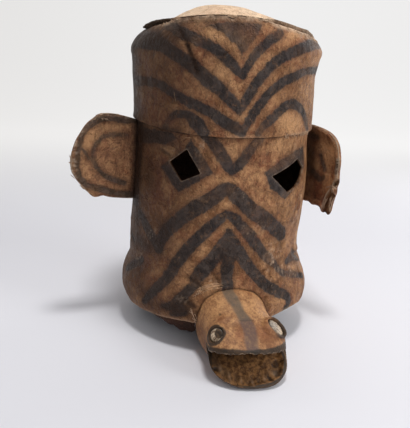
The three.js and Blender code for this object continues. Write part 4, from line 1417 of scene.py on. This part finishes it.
JAW_OUTLINE = [
    (-45, 163), (-46, 175), (-48.5, 190), (-47, 200), (-41.5, 210), (-32, 216.5), (-17, 219.5),
    (0, 219.5), (20, 217), (30, 214), (40, 208), (46, 197), (48, 188), (47, 175), (47, 163),
]
HEAD_STRIPE = [
    (-14, 112, 15), (-12.5, 122, 14), (-12, 130, 13.5), (-9.7, 140, 13), (-7, 150, 12.5),
    (-5.2, 160, 12), (-1.5, 171, 14), (0.5, 180, 16), (0.5, 190, 16), (-1.5, 200, 15), (-2, 210, 14),
]


VOXEL = 0.95  # size of the carved head's even mesh, in mm
JAW_UP = np.array([0, -0.474, 0.88])  # the way that the jaw's upper face looks
FAR_RIM = 3.0  # how far the far rim of the viewer's-right socket stands out
# Marks on the carved head: sideways place, distance in front of the axis, half sizes, strength
JAW_SPOTS = [
    (-5, 187, 7, 4, 0.4), (-27, 196, 4, 6, 0.6), (-16, 204, 2, 5, 0.5), (-6, 208, 2, 5, 0.5),
    (9, 210, 2, 4, 0.45), (22, 206, 2.5, 3, 0.4), (33, 192, 5, 4, 0.2), (-38, 184, 6, 12, 0.7),
    (0, 172, 40, 5, 0.5), (-18, 182, 5, 4, 0.3),
]
JAW_CHIPS = [
    (-24, 203, 1.6, 5, 0.25), (-11, 209, 1.5, 4, 0.2), (2, 211, 1.4, 3.5, 0.25),
    (17, 208, 1.6, 3, 0.25), (-33, 194, 2, 5, 0.3), (31, 202, 4, 3, 0.3),
]
HEAD_NICK = [(-29, 157, 1.4, 1.7, 1.0)]
HEAD_REDS = [
    (-36, 146, 8, 12, 0.25), (-34, 126, 7, 8, 0.25), (-14, 192, 8, 8, 0.7), (16, 188, 9, 10, 0.7),
    (-28, 164, 8, 6, 0.4), (30, 178, 8, 8, 0.5), (12, 128, 6, 5, 0.3), (24, 150, 5, 5, 0.3),
]
HEAD_TONES = [
    (16, 150, 16, 18, 0.5), (-22, 146, 12, 14, 0.4), (-21, 186, 5, 6, 1.0), (8, 204, 10, 4, 0.2),
    (-10, 118, 8, 8, 0.4), (24, 118, 12, 10, 0.2), (-6, 196, 5, 4, 0.4), (22, 196, 12, 12, -0.5),
    (0, 192, 36, 22, -0.65), (-30, 164, 10, 6, -0.3),
]


def carve_head():
    """The carved head's plain form with its sockets and open mouth, as an even mesh."""
    head = mesh_object("mask_animal_head", *loft(snout_rings()))
    for eye in EYES:
        collar = [(eye.radius + more, height) for more, height in EYE_COLLAR]
        apply_boolean(head, mesh_object("collar", *loft(turned(collar, eye))), "UNION")
        cup = [(eye.radius + GAP, -INLAY_THICKNESS - GAP), (eye.radius + GAP, 12)]
        apply_boolean(head, mesh_object("cup", *loft(turned(cup, eye))), "DIFFERENCE")
    corners = MOUTH_CORNER, MOUTH_BEND, MOUTH_UPPER, MOUTH_LOWER
    wedge = [np.array([(x, -reach, z) for reach, z in corners]) for x in (-80.0, 80.0)]
    apply_boolean(head, mesh_object("mouth", *loft(wedge)), "DIFFERENCE")
    even = head.modifiers.new("even", "REMESH")
    even.mode = "VOXEL"
    even.voxel_size = VOXEL * MM
    apply_modifiers(head)
    soften = head.modifiers.new("soften", "SMOOTH")
    soften.factor = 0.5
    soften.iterations = 3
    apply_modifiers(head)
    return head


def head_zones(co, normal):
    """The parts of the carved head's surface, which its relief and its colours share."""
    x, reach, z, up = co[:, 0], -co[:, 1], co[:, 2], normal[:, 2]
    roof, floor = mouth_roof(reach), jaw_plane(reach)
    on_jaw = (np.abs(z - floor) < 1.3) & (up > 0.5) & (reach > 162)
    in_mouth = (reach > 160) & (z < roof + 1.0) & (z > floor - 1.2)
    edge = polygon_depth(x, reach, smooth_line(JAW_OUTLINE))
    inside = np.clip(edge, 0, None)
    spot = np.column_stack([x, reach, 0 * x])
    ridge = np.sin(np.arctan2(reach - 172, x + 2) * 19 + 5.0 * noise(spot, 11, 60, 2))
    ridge *= hump(inside, 8, 5.5) * smooth_step(-0.5, 0.4, noise(spot, 13, 59, 2))
    return SimpleNamespace(
        co=co, normal=normal, x=x, reach=reach, z=z, up=up, roof=roof, below=floor - z, on_jaw=on_jaw,
        in_mouth=in_mouth, edge=edge, inside=inside, spot=spot, ridge=ridge,
        hem=hump(z, roof, 1.5) * smooth_step(172, 190, reach) * ~on_jaw,
        top=(up > 0.15) & ~in_mouth, ragged=noise(co, (5, 5, 4), 66, 3),
    )


def far_side(local, away):
    """1 on the far side of the eye at the viewer's right, 0 on its near side."""
    return smooth_step(-0.2, 0.55, (0.92 * local[:, 0] - 0.39 * local[:, 1]) / np.maximum(away, 1))


def head_relief(head):
    """The carved head's points with its relief."""
    dip = 3.4 * smooth_step(2.4, 8.0, head.inside) - 0.9 * head.ridge * (head.inside > 2)
    dip += 1.3 * noise(head.spot, (4, 8, 5), 61, 3) * smooth_step(2, 6, head.inside)
    body = 0.5 * noise(head.co, (20, 26, 20), 63, 3) + 0.22 * noise(head.co, 6, 64, 3)
    # The brow over the eye at the viewer's left, and a low step across the snout
    brow = 1.4 * hump(head.x, -27, 9) * hump(head.reach, 166, 5) * (head.z > 40)
    step = 0.8 * between(head.reach, 168, 171, 176, 186) * (head.z > 40) * (np.abs(head.x) < 34)
    moved = head.co - head.normal * np.where(head.in_mouth, 0, body - brow + step)[:, None]
    moved -= JAW_UP * (dip * head.on_jaw)[:, None]
    # The socket's rim stands proud on the far side of the eye at the viewer's right
    eye = EYES[1]
    local, away = eye_place(head.co, eye)
    proud = FAR_RIM * hump(away - eye.radius, 2.4, 2.0) * far_side(local, away) * (local[:, 2] > -7)
    moved += proud[:, None] * eye_turn(eye.way)[:, 2]
    # The torn lower edge of the upper lip hangs down a little
    torn = 1.3 * smooth_step(0, 30, head.x) + 2.1 * noise(head.spot, (3.0, 12, 4), 62, 3)
    moved[:, 2] -= head.hem * (1.4 + torn)
    moved[:, 2] = np.maximum(moved[:, 2], 0.0)
    return moved


def socket_dirt(head, eye):
    """The dark ring in and round an eye's socket."""
    local, from_middle = eye_place(head.co, eye)
    away = from_middle - eye.radius
    wide = 3.2 + 0.8 * smooth_step(0, -8, local[:, 1]) + 1.0 * head.ragged
    ring = smooth_step(-1.0, 0.4, wide - away) * (away > -1.5) * (local[:, 2] > -6)
    if eye.node == "animal_eye_left":
        ring *= smooth_step(-9, 6, 0.3 * local[:, 0] - local[:, 1])
        ring = np.maximum(ring, 0.55 * (np.abs(away - 0.8) < 0.9) * (local[:, 2] > -3))
        far = far_side(local, from_middle)
        ring = np.maximum(ring, 0.85 * far * (away > 0.6) * (away < 5.5) * (local[:, 2] > -5))
    return 0.96 * ring


def head_dirt_and_shade(head):
    """The dark places of the carved head: its dark marks, and painted shade in a crease, deep in the mouth,
    where it meets the cloth and underneath.
    """
    # The dark lip runs along the mouth's upper edge, thicker towards its corners
    lip = lerp(3.6, 5.8, smooth_step(14, 44, head.x)) + 1.4 * smooth_step(10, 44, -head.x)
    lip = smooth_step(-1.2, 0.8, lip + 1.1 * head.ragged - (head.z - head.roof))
    lip *= (head.z > head.roof - 0.6) * (head.reach > 166) * ~head.on_jaw
    lip *= smooth_step(164, 172, head.reach)
    rim = lerp(2.8, 6.5, smooth_step(8, -30, head.x)) + 0.9 * head.ragged - head.edge
    rim = smooth_step(-0.8, 0.8, rim) * head.on_jaw
    side = ~head.on_jaw & (head.below > np.where(head.edge < 3, -2.6, -1.0)) & (head.reach > 168)
    side &= (head.edge < 3) | ~head.in_mouth
    side = smooth_step(12, 7, head.below + 1.5 * head.ragged) * side
    # Painted shade in the crease across the snout
    crease = 0.45 * hump(head.reach, 171.5, 1.0) * (np.abs(head.x) < 9) * head.top
    grime = np.maximum.reduce([
        0.97 * lip, 0.93 * rim, 0.88 * side, crease,
        # Painted shade deep in the mouth, where the head meets the cloth, and underneath at the floor
        0.85 * (head.in_mouth & ~head.on_jaw) * smooth_step(185, 163, head.reach),
        0.5 * hump(snout_tube_gap(head.co), 0, 1.3),
        0.45 * (head.z < 3) * (head.up < -0.5),
        *[socket_dirt(head, eye) for eye in EYES],
    ])
    spots = blobs(head.x, head.reach, JAW_SPOTS) + 0.5 * np.clip(-head.ridge, 0, 1)
    grime = np.where(head.on_jaw, np.maximum(grime, spots), grime)
    return np.maximum(grime, 0.85 * blobs(head.x, head.reach, HEAD_NICK) * head.top)


def head_values(head):
    """The carved head's marks, dirt and wear."""
    x, reach = head.x, head.reach
    stripe = stroke_depth(x + 1.5 * noise(head.co, 7, 65, 3), reach, [HEAD_STRIPE])
    bare = np.where(head.on_jaw, blobs(x, reach, JAW_CHIPS), 0)
    torn = smooth_step(-0.4, 0.4, noise(head.spot, (7, 8, 3), 67, 4, 0.75))
    bare += 0.42 * head.hem * torn * (head.z < head.roof + 0.8)
    bare += 0.3 * hump(head.edge, -1.6, 0.7) * head.on_jaw
    upward = smooth_step(-0.25, 0.35, head.up) * ~head.in_mouth
    return {
        "paint": np.where(head.top | (reach < 130), stripe, NO_PAINT),
        "grime": np.clip(head_dirt_and_shade(head), 0, 1),
        "bare": np.clip(bare, 0, 1),
        "red": blobs(x, reach, HEAD_REDS) * upward,
        "mouth": head.in_mouth * smooth_step(-0.5, 1.5, head.inside),
        # Darker on faces that don't look up: painted shade
        "tone": blobs(x, reach, HEAD_TONES) * upward - 0.7 * (1 - upward) * ~head.in_mouth,
        "cold": smooth_step(168, 174, reach),
        "ridge": 0.5 + 0.5 * head.ridge,
    }


def build_head():
    made = carve_head()
    head = head_zones(*mesh_points(made.data))
    made.data.vertices.foreach_set("co", place(head_relief(head)).ravel())
    made.data.update()
    add_values(made.data, head_values(head))
    shade_smooth(made.data)
    finish_piece(made, "carved_wood", WOOD, "animal_head")


def snout_tube_gap(co):
    """How far a point is in front of the cloth that the head comes out through."""
    centre, radius = table_at(FACE_SECTIONS, co[:, 2]).T
    return np.hypot(co[:, 0] - centre, co[:, 1]) - radius


def build_inlay(eye):
    dome = [(eye.radius, -INLAY_THICKNESS), (eye.radius, -0.9)]
    for degrees in (0, 15, 30, 45, 60, 72, 82, 88):
        a = math.radians(degrees)
        dome.append((eye.radius * math.cos(a) * 0.995, INLAY_PROUD * math.sin(a) - 0.4))
    points, faces = loft(turned(dome, eye, 48))
    local, away = eye_place(points, eye)
    rough = 0.3 * noise(points, 3, 71, 2) * (away < eye.radius - 0.5)
    points = points + rough[:, None] * eye_turn(eye.way)[:, 2]
    grime = 0.92 * smooth_step(eye.radius - 2.2, eye.radius - 0.2, away)
    if eye.pupil:
        dark = 5.8 - np.hypot(local[:, 0] - eye.pupil[0], local[:, 1] - eye.pupil[1])
    else:
        dark = np.full(len(points), -9.0)
        # Painted shade over the upper left of this inlay
        shade = 0.72 * smooth_step(9, -6, local[:, 0] * 0.4 - local[:, 1] * 0.9)
        grime = np.maximum(grime, shade * (0.8 + 0.5 * noise(points, 2.5, 72, 2)))
    attributes = {"paint": dark, "grime": np.clip(grime, 0, 1)}
    made = mesh_object("mask_" + eye.node, points, faces, attributes, 40)
    finish_piece(made, "eye_inlay", INLAY, eye.node)


# Lining

LINING_THICKNESS = 1.6
# Its torn outline: angle and height
LINING_OUTLINE = [
    (-61, 45), (-56, 33), (-50, 27), (-46, 28), (-42, 19), (-38, 21), (-34, 13.5), (-29, 15),
    (-25, 14), (-22.5, 17), (-22.5, 46.3), (-61, 46.3),
]


def build_lining():
    us, vs = np.arange(-62, -18, 0.8), np.arange(9, 49, 1.2)

    def keep(theta, z):
        u = theta * FACE_MM
        ragged = 1.4 * noise(np.stack([u, 0 * theta, z], 1), 6, 81, 3)
        inside = polygon_depth(u, z, LINING_OUTLINE, FACE_MM) + np.where(z < 44, ragged, 0)
        neck = snout_excess(tube_point(FACE_SECTIONS, theta, z, WALL + 1)) - 1.2
        return np.minimum(inside, neck)

    theta, z, faces = clipped_grid(us, vs, keep, False)
    spot = tube_point(FACE_SECTIONS, theta, z)
    sag = 1.2 * noise(spot, 16, 82, 2) * smooth_step(44, 20, z)
    clear = WALL + (0.5 + np.where(z > rim_height(theta) - 3, 0.9, 0))
    front = tube_point(FACE_SECTIONS, theta, z, clear + np.maximum(sag, -0.2))
    back = tube_point(FACE_SECTIONS, theta, z, clear + LINING_THICKNESS + np.maximum(sag, -0.2))
    points, faces = closed_shell(front, back, faces)
    flat = np.zeros(len(points))
    made = mesh_object("mask_lining", points, faces, {"tone": flat, "grime": flat, "bare": flat}, 50)
    finish_piece(made, "old_lining", SHADED_LINING, "chin_lining")


# Stage

# The paper floor sweeps up into the backdrop: metres
FLOOR_DROP = 0.0002  # the floor lies this far under the mask
FLOOR_NEAR, SWEEP_START, SWEEP_RADIUS, BACKDROP_TOP, HALF_WIDTH = -3.0, 1.6, 0.9, 4.0, 4
FLOOR_COLOUR, FAR_COLOUR = (0.775, 0.77, 0.81), (0.10, 0.10, 0.10)
GLOW_LEFT, GLOW_RIGHT = (0.71, 0.70, 0.69), (0.795, 0.79, 0.785)
WORLD_COLOUR, WORLD_STRENGTH = (0.97, 0.97, 1.0, 1), 0.26
LIGHT_AIM = (0.0, 0.0, 0.2)
# Lights: place and size in metres, power in watts
LIGHTS = [
    ("top", (0.0, -0.2, 1.5), (0.22, 0.22), 10.5),
    ("key", (1.4, -1.1, 1.0), (0.8, 0.8), 11.6),
    ("front", (0.4, -1.9, 1.0), (1.0, 0.6), 6.5),
    ("right", (1.1, 0.7, 0.7), (0.5, 0.9), 3.5),
    ("left", (-1.2, 0.6, 0.7), (0.5, 0.9), 0.9),
]


def build_stage():
    profile = [(FLOOR_NEAR, 0.0), (SWEEP_START, 0.0)]
    for k in range(1, 13):
        a = math.radians(90 * k / 12)
        rise = SWEEP_RADIUS * (1 - math.cos(a))
        profile.append((SWEEP_START + SWEEP_RADIUS * math.sin(a), rise))
    profile.append((SWEEP_START + SWEEP_RADIUS, BACKDROP_TOP))
    points, faces = [], []
    for k, (y, z) in enumerate(profile):
        points += [(-HALF_WIDTH, y, z - FLOOR_DROP), (HALF_WIDTH, y, z - FLOOR_DROP)]
        if k:
            faces.append((2 * k - 2, 2 * k - 1, 2 * k + 1, 2 * k))
    mesh = bpy.data.meshes.new("floor")
    mesh.from_pydata(points, [], faces)
    shade_smooth(mesh)
    floor = add_object("floor", mesh)
    g = Graph("floor_paper")
    aside, back = (g.node("ShaderNodeSeparateXYZ", {0: g.at()}, out=axis) for axis in (0, 1))
    glow = g.mix(g.span(aside, -0.9, 0.9), GLOW_LEFT, GLOW_RIGHT)
    paper = g.mix(g.span(back, 0.4, 1.5), FLOOR_COLOUR, FAR_COLOUR)
    g.finish(paper, 0.7, g.bump(g.noise(60), 0.0005, 0.1))
    # The far floor and backdrop glow, dimmer towards the viewer's left: painted light
    g.put(g.shader.inputs["Emission Color"], g.mix(g.span(back, 0.35, 1.5), (0, 0, 0), glow))
    g.shader.inputs["Emission Strength"].default_value = 1.0
    mesh.materials.append(g.material)


def area_light(name, at, size, power):
    data = bpy.data.lights.new(name, "AREA")
    data.shape = "RECTANGLE"
    data.size, data.size_y = size
    data.energy = power
    lamp = add_object(name, data)
    lamp.location = at
    lamp.rotation_euler = (Vector(LIGHT_AIM) - Vector(at)).to_track_quat("-Z", "Y").to_euler()


def build_lights():
    world = bpy.data.worlds.new("studio")
    bpy.context.scene.world = world
    world.use_nodes = True
    background = world.node_tree.nodes["Background"]
    background.inputs[0].default_value = WORLD_COLOUR
    background.inputs[1].default_value = WORLD_STRENGTH
    for light in LIGHTS:
        area_light(*light)


def build_camera():
    yaw, down, roll = (math.radians(a) for a in (CAMERA_YAW, CAMERA_DOWN, CAMERA_ROLL))
    forward = Vector((
        math.sin(yaw) * math.cos(down), math.cos(yaw) * math.cos(down), -math.sin(down)
    ))
    right = forward.cross(Vector((0, 0, 1))).normalized()
    up = right.cross(forward)
    across = right * math.cos(roll) + up * math.sin(roll)
    upward = across.cross(forward)
    data = bpy.data.cameras.new("camera")
    data.sensor_fit = "AUTO"
    data.sensor_width = SENSOR
    data.lens = FOCAL_PIXELS * SENSOR / max(IMAGE_WIDTH, IMAGE_HEIGHT)
    camera = add_object("camera", data)
    turn = Matrix((across, upward, -forward)).transposed().to_4x4()
    turn.translation = Vector(place(CAMERA_AT))
    camera.matrix_world = turn
    bpy.context.scene.camera = camera


bpy.context.scene.view_settings.view_transform = "Standard"
build_camera()
build_stage()
build_lights()
build_face()
build_crown()
build_lid()
for ear in EARS:
    build_ear(ear)
build_head()
for eye in EYES:
    build_inlay(eye)
build_lining()
